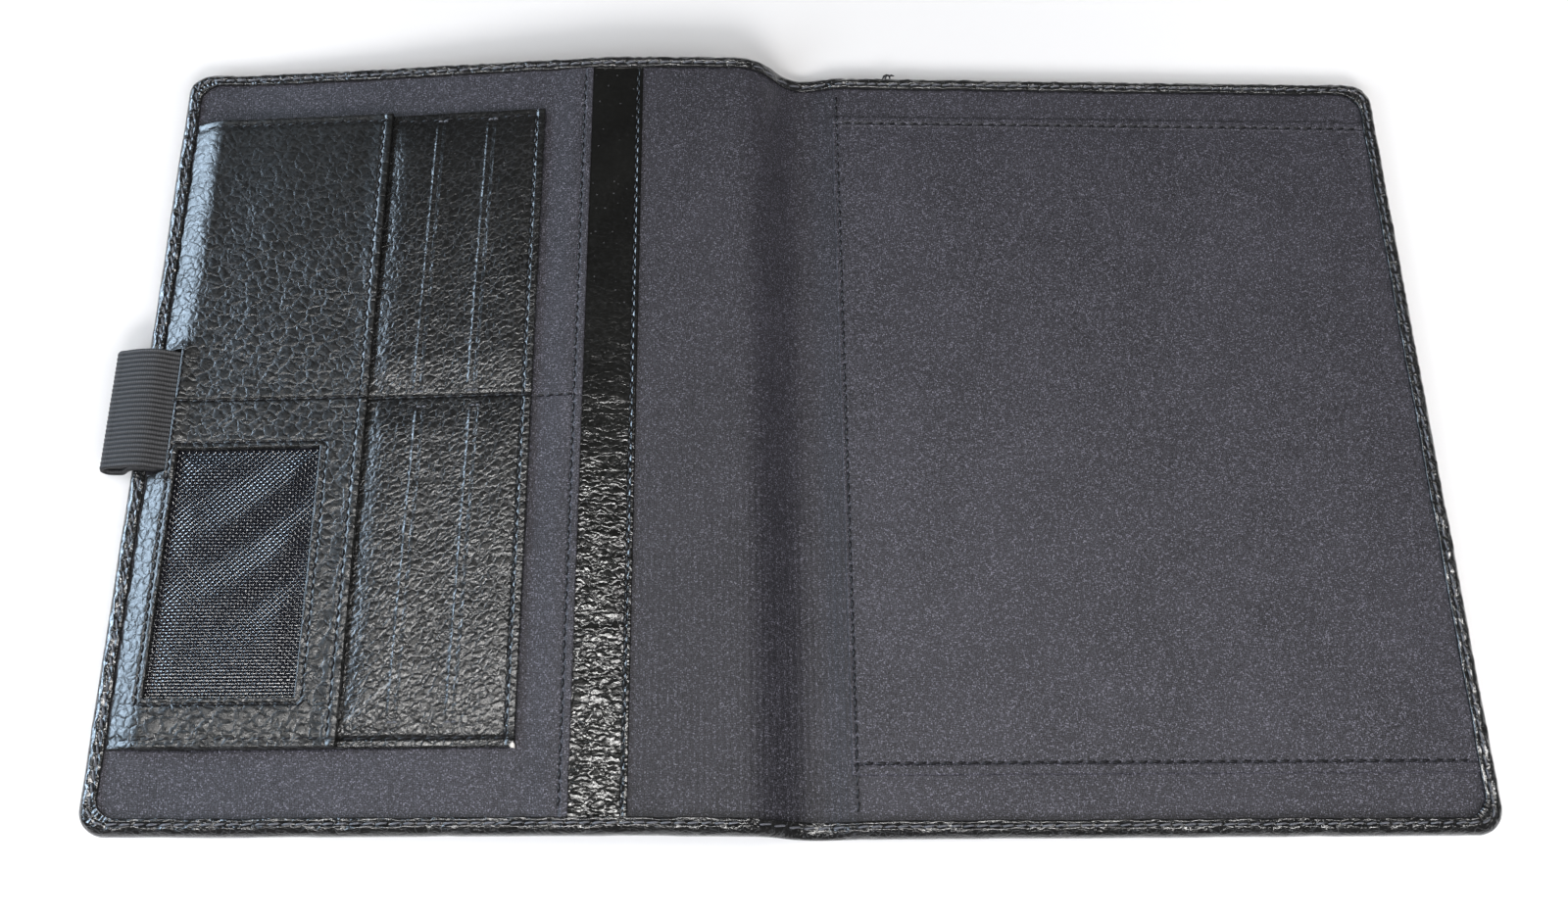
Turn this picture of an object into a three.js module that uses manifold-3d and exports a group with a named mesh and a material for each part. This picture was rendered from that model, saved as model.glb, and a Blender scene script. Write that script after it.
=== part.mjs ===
// A zip-less notepad folio lying open, seen from the inside: a back cover flat on the table, a soft spine
// and a front cover that rises a little toward the spine. Millimetres, X along the opened width, Y toward
// the far edge, Z up. The feature that takes the most skill is the cover skin: one leather sheet that runs
// under the board, round its rounded edges and corners, and back on top as a turned rim, on a cover that
// is bowed and twisted in its rest.
import * as THREE from "three";
import { mergeVertices } from "three/addons/utils/BufferGeometryUtils.js";
import Module from "manifold-3d";

const wasm = await Module();
wasm.setup();

// Overall size of the opened folio
const FOLIO_HEIGHT = 235;
const COVER_EDGE = 183.5;
const CORNER_RADIUS = 7;
const HALF_HEIGHT = FOLIO_HEIGHT / 2;

// Fold lines and the play left at each of them
const BACK_FOLD_X = 11.5;
const FRONT_FOLD_X = -14.5;
const BACK_FOLD_PLAY = 0.15;
const FRONT_FOLD_PLAY = 0.15;

// Thickness of each layer, and the play between layers
const SKIN = 1.2;
const BOARD = 1.7;
const CLOTH = 0.4;
const RIM_LEATHER = 0.9;
const SLOT_CLOTH = 0.25;
const PANEL_LEATHER = 0.9;
const MESH = 0.25;
const FACING_LEATHER = 0.7;
const PLAY = 0.1;

// Heights of the layers, from the underside up
const BOARD_Z = SKIN + PLAY;
const LINING_Z = BOARD_Z + BOARD + PLAY;
const POCKET_Z = LINING_Z + CLOTH + PLAY;
const RIM_Z = POCKET_Z + CLOTH + PLAY;
const RIM_TOP = RIM_Z + RIM_LEATHER;
const LOWER_SLOT_Z = POCKET_Z + CLOTH + PLAY;
const UPPER_SLOT_Z = LOWER_SLOT_Z + SLOT_CLOTH + PLAY;
const CARD_Z = UPPER_SLOT_Z + SLOT_CLOTH + PLAY;
const MESH_Z = CARD_Z + PANEL_LEATHER + PLAY;
const ID_Z = MESH_Z + MESH + PLAY;

// Turned rim of the covers and the board inside it
const RIM_WIDTH = 4.4;
const RIM_CORNER = 5;
const WALL_PLAY = 0.4;
const BOARD_INSET = SKIN + WALL_PLAY;
const EDGE_ROUND = 1.3;
const EDGE_ROUND_STEPS = 2;
const LAYER_INSET = 3.2;
const BOARD_BACK_SETBACK = 4;
const BOARD_FRONT_SETBACK = 2;
const RIM_SET_BACK = 2.5;

// Notepad band on the back cover
const BAND_SETBACK = 1.3;
const BAND_NEAR_INSET = 16.2;
const BAND_FAR_INSET = 14.5;

// Card and identity panels on the front cover, set out from the cover's free edge and its near and far edges
const PANEL_RIM_PLAY = 0.3;
const PANEL_NEAR_INSET = 22;
const PANEL_FAR_INSET = 19;
const PANEL_CORNER = 1.5;
const CARD_TUCK = 7;
const CARD_REACH = 104.8;
const ID_WIDTH = 59.3;
const ID_DROP = 2.1;
const ID_DROP_WIDTH = 6;
const ID_DROP_STEPS = 4;
const PANEL_LEFT_X = -COVER_EDGE + RIM_WIDTH + PANEL_RIM_PLAY;
const PANEL_NEAR_Y = -HALF_HEIGHT + PANEL_NEAR_INSET;
const PANEL_FAR_Y = HALF_HEIGHT - PANEL_FAR_INSET;
const CARD_LEFT_X = PANEL_LEFT_X + CARD_TUCK;
const CARD_RIGHT_X = PANEL_LEFT_X + CARD_REACH;
const ID_RIGHT_X = PANEL_LEFT_X + ID_WIDTH;

// Identity window and its netting
const WINDOW_LEFT_MARGIN = 8.3;
const WINDOW_NEAR_MARGIN = 13.5;
const WINDOW_WIDTH = 39;
const WINDOW_DEPTH = 71;
const WINDOW_CORNER = 0.8;
const MESH_MARGIN = 2.6;
const WINDOW_LEFT_X = PANEL_LEFT_X + WINDOW_LEFT_MARGIN;
const WINDOW_RIGHT_X = WINDOW_LEFT_X + WINDOW_WIDTH;
const WINDOW_NEAR_Y = PANEL_NEAR_Y + WINDOW_NEAR_MARGIN;
const WINDOW_FAR_Y = WINDOW_NEAR_Y + WINDOW_DEPTH;

// Card slots, two upper and two lower, on either side of the seam across the panel
const MIDDLE_SEAM_Y = 4;
const UPPER_SLIT_GAP = 2;
const LOWER_SLIT_GAP = 3.5;
const SLIT_FAR_MARGIN = 3.5;
const SLIT_NEAR_MARGIN = 7;
const SLIT_WIDTH = 0.5;
const SLIT_MARGIN = 16;
const SLIT_PITCH = 15;
const CARD_DEPTH = 56;
const SLIT_OVERHANG = 3;
const SLOT_END_PLAY = 1;
const UPPER_SLIT_Y = [MIDDLE_SEAM_Y + UPPER_SLIT_GAP, PANEL_FAR_Y - SLIT_FAR_MARGIN];
const LOWER_SLIT_Y = [PANEL_NEAR_Y + SLIT_NEAR_MARGIN, MIDDLE_SEAM_Y - LOWER_SLIT_GAP];
const OUTER_SLIT_X = CARD_RIGHT_X - SLIT_MARGIN;
const INNER_SLIT_X = OUTER_SLIT_X - SLIT_PITCH;

// Full-height page pocket under the panels, and the leather facing of its mouth
const PAGE_PANEL_MARGIN = 14;
const FACING_WIDTH = 15;
const FACING_LAP = 5.4;
const LAP_PLAY = 0.6;
const PAGE_PANEL_LEFT_X = -COVER_EDGE + LAYER_INSET;
const PAGE_PANEL_RIGHT_X = CARD_RIGHT_X + PAGE_PANEL_MARGIN;
const FACING_RIGHT_X = PAGE_PANEL_RIGHT_X + FACING_WIDTH;

// Pen loop, a flattened ring of ribbed elastic sewn beside the cover's free edge
const LOOP_NEAR_Y = -16.9;
const LOOP_FAR_Y = 19.5;
const LOOP_REACH = 8;
const LOOP_BAND = 1.1;
const LOOP_SEAM_INSET = 4.4;
const LOOP_LEAVES_RIM = 1.6;
const LOOP_EDGE_PLAY = 0.65;
const LOOP_BELLY_START = 3.4;
const LOOP_SEAM_PLAY = 0.12;
const LOOP_LAYER_PLAY = 0.15;
const LOOP_BELLY = 1.8;
const LOOP_STEPS = 36;

// Rest shape: how far the front cover rises, and how much more at its far edge than in the middle
const RISE = 8;
const RISE_TWIST = 0.25;
const FREE_EDGE_TAPER = 2.0;

// Share of the rise at shares of the cover's width, from its free edge to the fold, and then of the spine's
const COVER_RISE = [
  [1, 0],
  [0.89, 0],
  [0.76, 0.17],
  [0.63, 0.38],
  [0.5, 0.6],
  [0.37, 0.82],
  [0.245, 1],
  [0.12, 1.03],
  [0, 1],
];
const SPINE_RISE = [
  [0.154, 0.95],
  [0.269, 0.78],
  [0.404, 0.4],
  [0.512, 0.1],
  [0.62, 0],
];
const COVER_WIDTH = COVER_EDGE + FRONT_FOLD_X;
const SPINE_WIDTH = BACK_FOLD_X - FRONT_FOLD_X;
const RISE_AT = [
  ...COVER_RISE.map(([share, rise]) => [FRONT_FOLD_X - share * COVER_WIDTH, rise]),
  ...SPINE_RISE.map(([share, rise]) => [FRONT_FOLD_X + share * SPINE_WIDTH, rise]),
];
const TWIST_STATIONS_Y = [-0.6, -0.2, 0.2, 0.6].map((share) => share * HALF_HEIGHT);

// How far a cutting block reaches past what it cuts
const BEYOND = 30;

// ---- materials ----
const skinLeather = new THREE.MeshStandardMaterial({ name: "leather", color: 0x1c1d20, roughness: 0.5 });
const lining = new THREE.MeshStandardMaterial({ name: "fabric", color: 0x34353b, roughness: 0.9 });
const paperboard = new THREE.MeshStandardMaterial({ name: "cardboard", color: 0x8a8072, roughness: 0.9 });
const netting = new THREE.MeshStandardMaterial({ name: "fabric", color: 0x15151a, roughness: 0.7 });
const elastic = new THREE.MeshStandardMaterial({ name: "fabric", color: 0x2b2b2e, roughness: 0.85 });

// ---- outlines ----
// A rectangle with its own corner radius on the left and on the right.
function roundedRectangle(left, right, near, far, leftRadius, rightRadius) {
  const shape = new THREE.Shape();
  shape.moveTo(left + leftRadius, near);
  shape.lineTo(right - rightRadius, near);
  if (rightRadius > 0) {
    shape.absarc(right - rightRadius, near + rightRadius, rightRadius, -Math.PI / 2, 0, false);
  }
  shape.lineTo(right, far - rightRadius);
  if (rightRadius > 0) {
    shape.absarc(right - rightRadius, far - rightRadius, rightRadius, 0, Math.PI / 2, false);
  }
  shape.lineTo(left + leftRadius, far);
  if (leftRadius > 0) {
    shape.absarc(left + leftRadius, far - leftRadius, leftRadius, Math.PI / 2, Math.PI, false);
  }
  shape.lineTo(left, near + leftRadius);
  if (leftRadius > 0) {
    shape.absarc(left + leftRadius, near + leftRadius, leftRadius, Math.PI, Math.PI * 1.5, false);
  }
  return shape;
}

// ---- solids ----
function slab(shape, bottom, top) {
  const geometry = new THREE.ExtrudeGeometry(shape, {
    depth: top - bottom,
    bevelEnabled: false,
    curveSegments: 6,
  });
  return geometry.translate(0, 0, bottom);
}

// A slab whose outer edges are rolled over by the edge rounding, top and bottom.
function rolledSlab(left, right, near, far, radius, bottom, top) {
  const shape = roundedRectangle(
    left + EDGE_ROUND,
    right - EDGE_ROUND,
    near + EDGE_ROUND,
    far - EDGE_ROUND,
    radius - EDGE_ROUND,
    radius - EDGE_ROUND,
  );
  const geometry = new THREE.ExtrudeGeometry(shape, {
    depth: top - bottom - 2 * EDGE_ROUND,
    bevelEnabled: true,
    bevelThickness: EDGE_ROUND,
    bevelSize: EDGE_ROUND,
    bevelSegments: EDGE_ROUND_STEPS,
    curveSegments: 6,
  });
  return geometry.translate(0, 0, bottom + EDGE_ROUND);
}

function box(left, right, near, far, bottom, top) {
  return slab(roundedRectangle(left, right, near, far, 0, 0), bottom, top);
}

function toManifold(geometry) {
  const bare = new THREE.BufferGeometry();
  const source = geometry.index ? geometry.toNonIndexed() : geometry;
  bare.setAttribute("position", source.getAttribute("position"));
  const merged = mergeVertices(bare, 1e-4);
  const mesh = new wasm.Mesh({
    numProp: 3,
    vertProperties: new Float32Array(merged.getAttribute("position").array),
    triVerts: new Uint32Array(merged.index.array),
  });
  mesh.merge();
  return new wasm.Manifold(mesh);
}

function toGeometry(manifold) {
  const mesh = manifold.getMesh();
  const geometry = new THREE.BufferGeometry();
  const positions = new Float32Array(mesh.numVert * 3);
  for (let i = 0; i < mesh.numVert; i++) {
    positions.set(mesh.vertProperties.subarray(i * mesh.numProp, i * mesh.numProp + 3), i * 3);
  }
  geometry.setAttribute("position", new THREE.BufferAttribute(positions, 3));
  geometry.setIndex(new THREE.BufferAttribute(new Uint32Array(mesh.triVerts), 1));
  return geometry;
}

function cut(base, ...tools) {
  let result = toManifold(base);
  for (const tool of tools) {
    result = result.subtract(toManifold(tool));
  }
  return toGeometry(result);
}

// ---- rest shape of the soft half ----
// Cuts every triangle that crosses the plane where the chosen coordinate equals the station.
function splitAt(triangles, axis, station) {
  const out = [];
  for (const triangle of triangles) {
    const side = triangle.map((p) => Math.sign(Math.abs(p[axis] - station) < 1e-4 ? 0 : p[axis] - station));
    if (Math.min(...side) >= 0 || Math.max(...side) <= 0) {
      out.push(triangle);
      continue;
    }
    for (const keep of [-1, 1]) {
      const polygon = [];
      for (let i = 0; i < 3; i++) {
        const j = (i + 1) % 3;
        if (side[i] * keep >= 0) {
          polygon.push(triangle[i]);
        }
        if (side[i] * side[j] < 0) {
          polygon.push(crossing(triangle[i], triangle[j], axis, station));
        }
      }
      for (let k = 1; k + 1 < polygon.length; k++) {
        out.push([polygon[0], polygon[k], polygon[k + 1]]);
      }
    }
  }
  return out;
}

// The point where an edge meets the plane, worked out the same way from either end.
function crossing(a, b, axis, station) {
  const [low, high] = a[axis] < b[axis] ? [a, b] : [b, a];
  const t = (station - low[axis]) / (high[axis] - low[axis]);
  const point = low.map((value, i) => value + t * (high[i] - value));
  point[axis] = station;
  return point;
}

function riseShare(x) {
  if (x <= RISE_AT[0][0]) {
    return RISE_AT[0][1];
  }
  for (let i = 1; i < RISE_AT.length; i++) {
    const [x0, s0] = RISE_AT[i - 1];
    const [x1, s1] = RISE_AT[i];
    if (x <= x1) {
      return s0 + ((s1 - s0) * (x - x0)) / (x1 - x0);
    }
  }
  return RISE_AT[RISE_AT.length - 1][1];
}

// Lifts a flat-built piece into the rest shape, and narrows it toward the free edge.
function toRest(geometry) {
  const flat = (geometry.index ? geometry.toNonIndexed() : geometry).getAttribute("position");
  let triangles = [];
  for (let i = 0; i < flat.count; i += 3) {
    triangles.push([0, 1, 2].map((k) => [flat.getX(i + k), flat.getY(i + k), flat.getZ(i + k)]));
  }
  for (const [station] of RISE_AT) {
    triangles = splitAt(triangles, 0, station);
  }
  for (const station of TWIST_STATIONS_Y) {
    triangles = splitAt(triangles, 1, station);
  }
  const points = [];
  for (const triangle of triangles) {
    for (const [x, y, z] of triangle) {
      const away = Math.min(Math.max((FRONT_FOLD_X - x) / COVER_WIDTH, 0), 1);
      const share = y / HALF_HEIGHT;
      const rise = RISE * (1 + RISE_TWIST * share) * riseShare(x);
      points.push(x, y - FREE_EDGE_TAPER * away * share, z + rise);
    }
  }
  const lifted = new THREE.BufferGeometry();
  lifted.setAttribute("position", new THREE.BufferAttribute(new Float32Array(points), 3));
  return mergeVertices(lifted, 1e-4);
}

function piece(name, geometry, material) {
  const mesh = new THREE.Mesh(geometry, material);
  mesh.name = name;
  return mesh;
}

// ---- covers ----
// Leather under the board, round the edge and back over it as a rim, open toward the spine.
function coverSkin(left, right, rimLeft, rimRight) {
  const whole = rolledSlab(left, right, -HALF_HEIGHT, HALF_HEIGHT, CORNER_RADIUS, 0, RIM_TOP);
  const hollow = roundedRectangle(
    left + SKIN,
    right - SKIN,
    -HALF_HEIGHT + SKIN,
    HALF_HEIGHT - SKIN,
    CORNER_RADIUS - SKIN,
    CORNER_RADIUS - SKIN,
  );
  const mouth = roundedRectangle(
    rimLeft,
    rimRight,
    -HALF_HEIGHT + RIM_WIDTH,
    HALF_HEIGHT - RIM_WIDTH,
    RIM_CORNER,
    RIM_CORNER,
  );
  return { whole, hollow: slab(hollow, SKIN, RIM_Z), mouth: slab(mouth, RIM_Z - PLAY, RIM_TOP + BEYOND) };
}

function backLeather() {
  const start = BACK_FOLD_X + BACK_FOLD_PLAY;
  const farLeft = start - BEYOND;
  const skin = coverSkin(farLeft, COVER_EDGE, farLeft - BEYOND, COVER_EDGE - RIM_WIDTH);
  const past = box(farLeft - BEYOND, start, -FOLIO_HEIGHT, FOLIO_HEIGHT, -BEYOND, BEYOND);
  const setBack = box(
    farLeft,
    start + RIM_SET_BACK,
    -FOLIO_HEIGHT,
    FOLIO_HEIGHT,
    RIM_Z - PLAY,
    BEYOND,
  );
  return piece("back_leather", cut(skin.whole, skin.hollow, skin.mouth, past, setBack), skinLeather);
}

function frontLeather() {
  const start = FRONT_FOLD_X - FRONT_FOLD_PLAY;
  const farRight = start + BEYOND;
  const skin = coverSkin(-COVER_EDGE, farRight, -COVER_EDGE + RIM_WIDTH, farRight + BEYOND);
  const past = box(start, farRight + BEYOND, -FOLIO_HEIGHT, FOLIO_HEIGHT, -BEYOND, BEYOND);
  const setBack = box(
    start - RIM_SET_BACK,
    farRight,
    -FOLIO_HEIGHT,
    FOLIO_HEIGHT,
    RIM_Z - PLAY,
    BEYOND,
  );
  const flat = cut(skin.whole, skin.hollow, skin.mouth, past, setBack);
  return piece("front_leather", toRest(flat), skinLeather);
}

function coverBoard(left, right, leftRadius, rightRadius) {
  const depth = HALF_HEIGHT - BOARD_INSET;
  const shape = roundedRectangle(left, right, -depth, depth, leftRadius, rightRadius);
  return slab(shape, BOARD_Z, BOARD_Z + BOARD);
}

function backBoard() {
  const radius = CORNER_RADIUS - BOARD_INSET;
  const board = coverBoard(BACK_FOLD_X + BOARD_BACK_SETBACK, COVER_EDGE - BOARD_INSET, 0, radius);
  return piece("back_board", board, paperboard);
}

function frontBoard() {
  const radius = CORNER_RADIUS - BOARD_INSET;
  const board = coverBoard(-COVER_EDGE + BOARD_INSET, FRONT_FOLD_X - BOARD_FRONT_SETBACK, radius, 0);
  return piece("front_board", toRest(board), paperboard);
}

function backLining() {
  const depth = HALF_HEIGHT - LAYER_INSET;
  const sheet = box(
    BACK_FOLD_X + BACK_FOLD_PLAY,
    COVER_EDGE - LAYER_INSET,
    -depth,
    depth,
    LINING_Z,
    LINING_Z + CLOTH,
  );
  return piece("back_lining", sheet, lining);
}

function frontLining() {
  const depth = HALF_HEIGHT - LAYER_INSET;
  const sheet = box(
    -COVER_EDGE + LAYER_INSET,
    FRONT_FOLD_X - FRONT_FOLD_PLAY,
    -depth,
    depth,
    LINING_Z,
    LINING_Z + CLOTH,
  );
  return piece("front_lining", toRest(sheet), lining);
}

// A cloth band, open at its far and near edges, that takes the stiff back of a writing pad.
function notepadBand() {
  const band = box(
    BACK_FOLD_X + BAND_SETBACK,
    COVER_EDGE - LAYER_INSET,
    -HALF_HEIGHT + BAND_NEAR_INSET,
    HALF_HEIGHT - BAND_FAR_INSET,
    POCKET_Z,
    POCKET_Z + CLOTH,
  );
  return piece("notepad_pocket", band, lining);
}

// ---- spine ----
const SPINE_LEFT = FRONT_FOLD_X + FRONT_FOLD_PLAY;
const SPINE_RIGHT = BACK_FOLD_X - BACK_FOLD_PLAY;
const SPINE_LINING_Z = SKIN + PLAY;
const SPINE_RIM_Z = SPINE_LINING_Z + CLOTH + PLAY;
const SPINE_RIM_TOP = SPINE_RIM_Z + RIM_LEATHER;
const SPINE_RIM_LEFT = SPINE_LEFT + RIM_SET_BACK;

function spineLeather() {
  const whole = box(SPINE_LEFT, SPINE_RIGHT, -HALF_HEIGHT, HALF_HEIGHT, 0, SPINE_RIM_TOP);
  const depth = HALF_HEIGHT - SKIN;
  const hollow = box(SPINE_LEFT - PLAY, SPINE_RIGHT + PLAY, -depth, depth, SKIN, SPINE_RIM_Z);
  const open = HALF_HEIGHT - RIM_WIDTH;
  const mouth = box(SPINE_LEFT - PLAY, SPINE_RIGHT + PLAY, -open, open, SKIN + PLAY, SPINE_RIM_TOP + PLAY);
  const setBack = box(
    SPINE_LEFT - PLAY,
    SPINE_RIM_LEFT,
    -FOLIO_HEIGHT,
    FOLIO_HEIGHT,
    SPINE_RIM_Z - PLAY,
    SPINE_RIM_TOP + PLAY,
  );
  return piece("spine_leather", toRest(cut(whole, hollow, mouth, setBack)), skinLeather);
}

function spineLining() {
  const depth = HALF_HEIGHT - LAYER_INSET;
  const sheet = box(SPINE_LEFT, SPINE_RIGHT, -depth, depth, SPINE_LINING_Z, SPINE_LINING_Z + CLOTH);
  return piece("spine_lining", toRest(sheet), lining);
}

// ---- front cover pockets ----
// The leather facing that borders the mouth of the full-height pocket, next to the spine.
function pocketFacing() {
  const depth = HALF_HEIGHT - LAYER_INSET;
  const lap = RIM_Z - PLAY;
  const strip = box(
    PAGE_PANEL_RIGHT_X - FACING_LAP,
    FACING_RIGHT_X,
    -depth,
    depth,
    POCKET_Z,
    POCKET_Z + FACING_LEATHER,
  );
  const open = HALF_HEIGHT - RIM_WIDTH - PLAY;
  const farLap = box(-COVER_EDGE, FRONT_FOLD_X, open, FOLIO_HEIGHT, lap, BEYOND);
  const nearLap = box(-COVER_EDGE, FRONT_FOLD_X, -FOLIO_HEIGHT, -open, lap, BEYOND);
  return piece("pocket_facing", toRest(cut(strip, farLap, nearLap)), skinLeather);
}

// The cloth panel of the full-height pocket, stepped up where it laps over the facing.
function pocketPanel() {
  const stepLeft = PAGE_PANEL_RIGHT_X - FACING_LAP - LAP_PLAY - CLOTH;
  const raised = POCKET_Z + FACING_LEATHER + PLAY;
  const profile = new THREE.Shape();
  profile.moveTo(PAGE_PANEL_LEFT_X, POCKET_Z);
  profile.lineTo(stepLeft + CLOTH, POCKET_Z);
  profile.lineTo(stepLeft + CLOTH, raised);
  profile.lineTo(PAGE_PANEL_RIGHT_X, raised);
  profile.lineTo(PAGE_PANEL_RIGHT_X, raised + CLOTH);
  profile.lineTo(stepLeft, raised + CLOTH);
  profile.lineTo(stepLeft, POCKET_Z + CLOTH);
  profile.lineTo(PAGE_PANEL_LEFT_X, POCKET_Z + CLOTH);
  profile.closePath();
  const depth = HALF_HEIGHT - LAYER_INSET;
  const sheet = new THREE.ExtrudeGeometry(profile, { depth: 2 * depth, bevelEnabled: false });
  sheet.rotateX(Math.PI / 2);
  sheet.translate(0, depth, 0);
  const open = HALF_HEIGHT - RIM_WIDTH - PLAY;
  const farLap = box(stepLeft - PLAY, FRONT_FOLD_X, open, FOLIO_HEIGHT, 0, BEYOND);
  const nearLap = box(stepLeft - PLAY, FRONT_FOLD_X, -FOLIO_HEIGHT, -open, 0, BEYOND);
  return piece("pocket_panel", toRest(cut(sheet, farLap, nearLap)), lining);
}

function slotLining(name, slitX, slitY, bottom) {
  const sheet = box(
    slitX - CARD_DEPTH,
    slitX + SLIT_OVERHANG,
    slitY[0] + SLOT_END_PLAY,
    slitY[1] - SLOT_END_PLAY,
    bottom,
    bottom + SLOT_CLOTH,
  );
  return piece(name, toRest(sheet), lining);
}

function slit(x, range) {
  return box(x - SLIT_WIDTH / 2, x + SLIT_WIDTH / 2, range[0], range[1], CARD_Z - PLAY, BEYOND);
}

function cardPanel() {
  const shape = roundedRectangle(
    CARD_LEFT_X,
    CARD_RIGHT_X,
    PANEL_NEAR_Y,
    PANEL_FAR_Y,
    0,
    PANEL_CORNER,
  );
  const sheet = slab(shape, CARD_Z, CARD_Z + PANEL_LEATHER);
  const slits = [];
  for (const x of [OUTER_SLIT_X, INNER_SLIT_X]) {
    for (const range of [UPPER_SLIT_Y, LOWER_SLIT_Y]) {
      slits.push(slit(x, range));
    }
  }
  return piece("card_panel", toRest(cut(sheet, ...slits)), skinLeather);
}

// The identity panel rolls down to the rim along the cover's free edge, and has the window cut in it.
function idPanel() {
  const profile = new THREE.Shape();
  const top = ID_Z + PANEL_LEATHER;
  profile.moveTo(ID_RIGHT_X, ID_Z);
  profile.lineTo(ID_RIGHT_X, top);
  for (let i = 0; i <= ID_DROP_STEPS; i++) {
    const t = 1 - i / ID_DROP_STEPS;
    profile.lineTo(PANEL_LEFT_X + ID_DROP_WIDTH * t, top - ID_DROP * (1 - t) * (1 - t));
  }
  for (let i = ID_DROP_STEPS; i >= 0; i--) {
    const t = 1 - i / ID_DROP_STEPS;
    profile.lineTo(PANEL_LEFT_X + ID_DROP_WIDTH * t, ID_Z - ID_DROP * (1 - t) * (1 - t));
  }
  profile.closePath();
  const height = PANEL_FAR_Y - PANEL_NEAR_Y;
  const sheet = new THREE.ExtrudeGeometry(profile, { depth: height, bevelEnabled: false });
  sheet.rotateX(Math.PI / 2);
  sheet.translate(0, PANEL_FAR_Y, 0);
  const opening = roundedRectangle(
    WINDOW_LEFT_X,
    WINDOW_RIGHT_X,
    WINDOW_NEAR_Y,
    WINDOW_FAR_Y,
    WINDOW_CORNER,
    WINDOW_CORNER,
  );
  const window = slab(opening, 0, BEYOND);
  return piece("id_panel", toRest(cut(sheet, window)), skinLeather);
}

function windowMesh() {
  const sheet = box(
    Math.max(WINDOW_LEFT_X - MESH_MARGIN, CARD_LEFT_X),
    WINDOW_RIGHT_X + MESH_MARGIN,
    WINDOW_NEAR_Y - MESH_MARGIN,
    WINDOW_FAR_Y + MESH_MARGIN,
    MESH_Z,
    MESH_Z + MESH,
  );
  return piece("window_mesh", toRest(sheet), netting);
}

// ---- pen loop ----
// The middle of the elastic: over the rim, down past the cover's edge, round a bend and back to its seam.
function loopCentre() {
  const seam = -COVER_EDGE + LOOP_SEAM_INSET;
  const lower = RIM_TOP + LOOP_SEAM_PLAY + LOOP_BAND / 2;
  const upper = lower + LOOP_BAND + LOOP_LAYER_PLAY;
  const belly = LOOP_BELLY + LOOP_BAND / 2;
  const bend = (upper - belly) / 2;
  const bendX = -COVER_EDGE - LOOP_REACH + LOOP_BAND / 2 + bend;
  const dropX = -COVER_EDGE - LOOP_BAND / 2 - LOOP_EDGE_PLAY;
  const path = new THREE.Path();
  path.moveTo(seam, lower);
  path.lineTo(-COVER_EDGE + LOOP_LEAVES_RIM, lower);
  path.bezierCurveTo(dropX, lower, dropX, belly, -COVER_EDGE - LOOP_BELLY_START, belly);
  path.lineTo(bendX, belly);
  path.absarc(bendX, belly + bend, bend, -Math.PI / 2, Math.PI / 2, true);
  path.lineTo(seam, upper);
  return path;
}

function penLoop() {
  const centre = loopCentre();
  const inside = [];
  const outside = [];
  for (let i = 0; i <= LOOP_STEPS; i++) {
    const at = centre.getPointAt(i / LOOP_STEPS);
    const along = centre.getTangentAt(i / LOOP_STEPS);
    const half = LOOP_BAND / 2;
    inside.push(new THREE.Vector2(at.x + along.y * half, at.y - along.x * half));
    outside.push(new THREE.Vector2(at.x - along.y * half, at.y + along.x * half));
  }
  const profile = new THREE.Shape([...inside, ...outside.reverse()]);
  const width = LOOP_FAR_Y - LOOP_NEAR_Y;
  const band = new THREE.ExtrudeGeometry(profile, { depth: width, bevelEnabled: false });
  band.rotateX(Math.PI / 2);
  band.translate(0, LOOP_FAR_Y, 0);
  return piece("pen_loop", mergeVertices(stripped(band), 1e-4), elastic);
}

// Leaves only the positions, so that shared corners can merge.
function stripped(geometry) {
  const bare = new THREE.BufferGeometry();
  const source = geometry.index ? geometry.toNonIndexed() : geometry;
  bare.setAttribute("position", source.getAttribute("position"));
  return bare;
}

// ---- the folio ----
const folio = new THREE.Group();
folio.name = "folio_organizer";

const backCover = new THREE.Group();
backCover.name = "back_cover";
backCover.add(backLeather(), backBoard(), backLining(), notepadBand());

const spine = new THREE.Group();
spine.name = "spine";
spine.add(spineLeather(), spineLining());

const frontCover = new THREE.Group();
frontCover.name = "front_cover";
frontCover.add(frontLeather(), frontBoard(), frontLining(), pocketFacing(), pocketPanel());
frontCover.add(
  slotLining("upper_outer_slot_lining", OUTER_SLIT_X, UPPER_SLIT_Y, UPPER_SLOT_Z),
  slotLining("upper_inner_slot_lining", INNER_SLIT_X, UPPER_SLIT_Y, LOWER_SLOT_Z),
  slotLining("lower_outer_slot_lining", OUTER_SLIT_X, LOWER_SLIT_Y, UPPER_SLOT_Z),
  slotLining("lower_inner_slot_lining", INNER_SLIT_X, LOWER_SLIT_Y, LOWER_SLOT_Z),
);
frontCover.add(cardPanel(), windowMesh(), idPanel(), penLoop());

folio.add(backCover, spine, frontCover);
folio.position.set(LOOP_REACH / 2, 0, 0);

export default folio;
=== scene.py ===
"""An opened leather notepad folio, inside up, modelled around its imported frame."""
import math
import bmesh
import bpy
import numpy as np
from mathutils import Matrix, Vector


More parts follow.
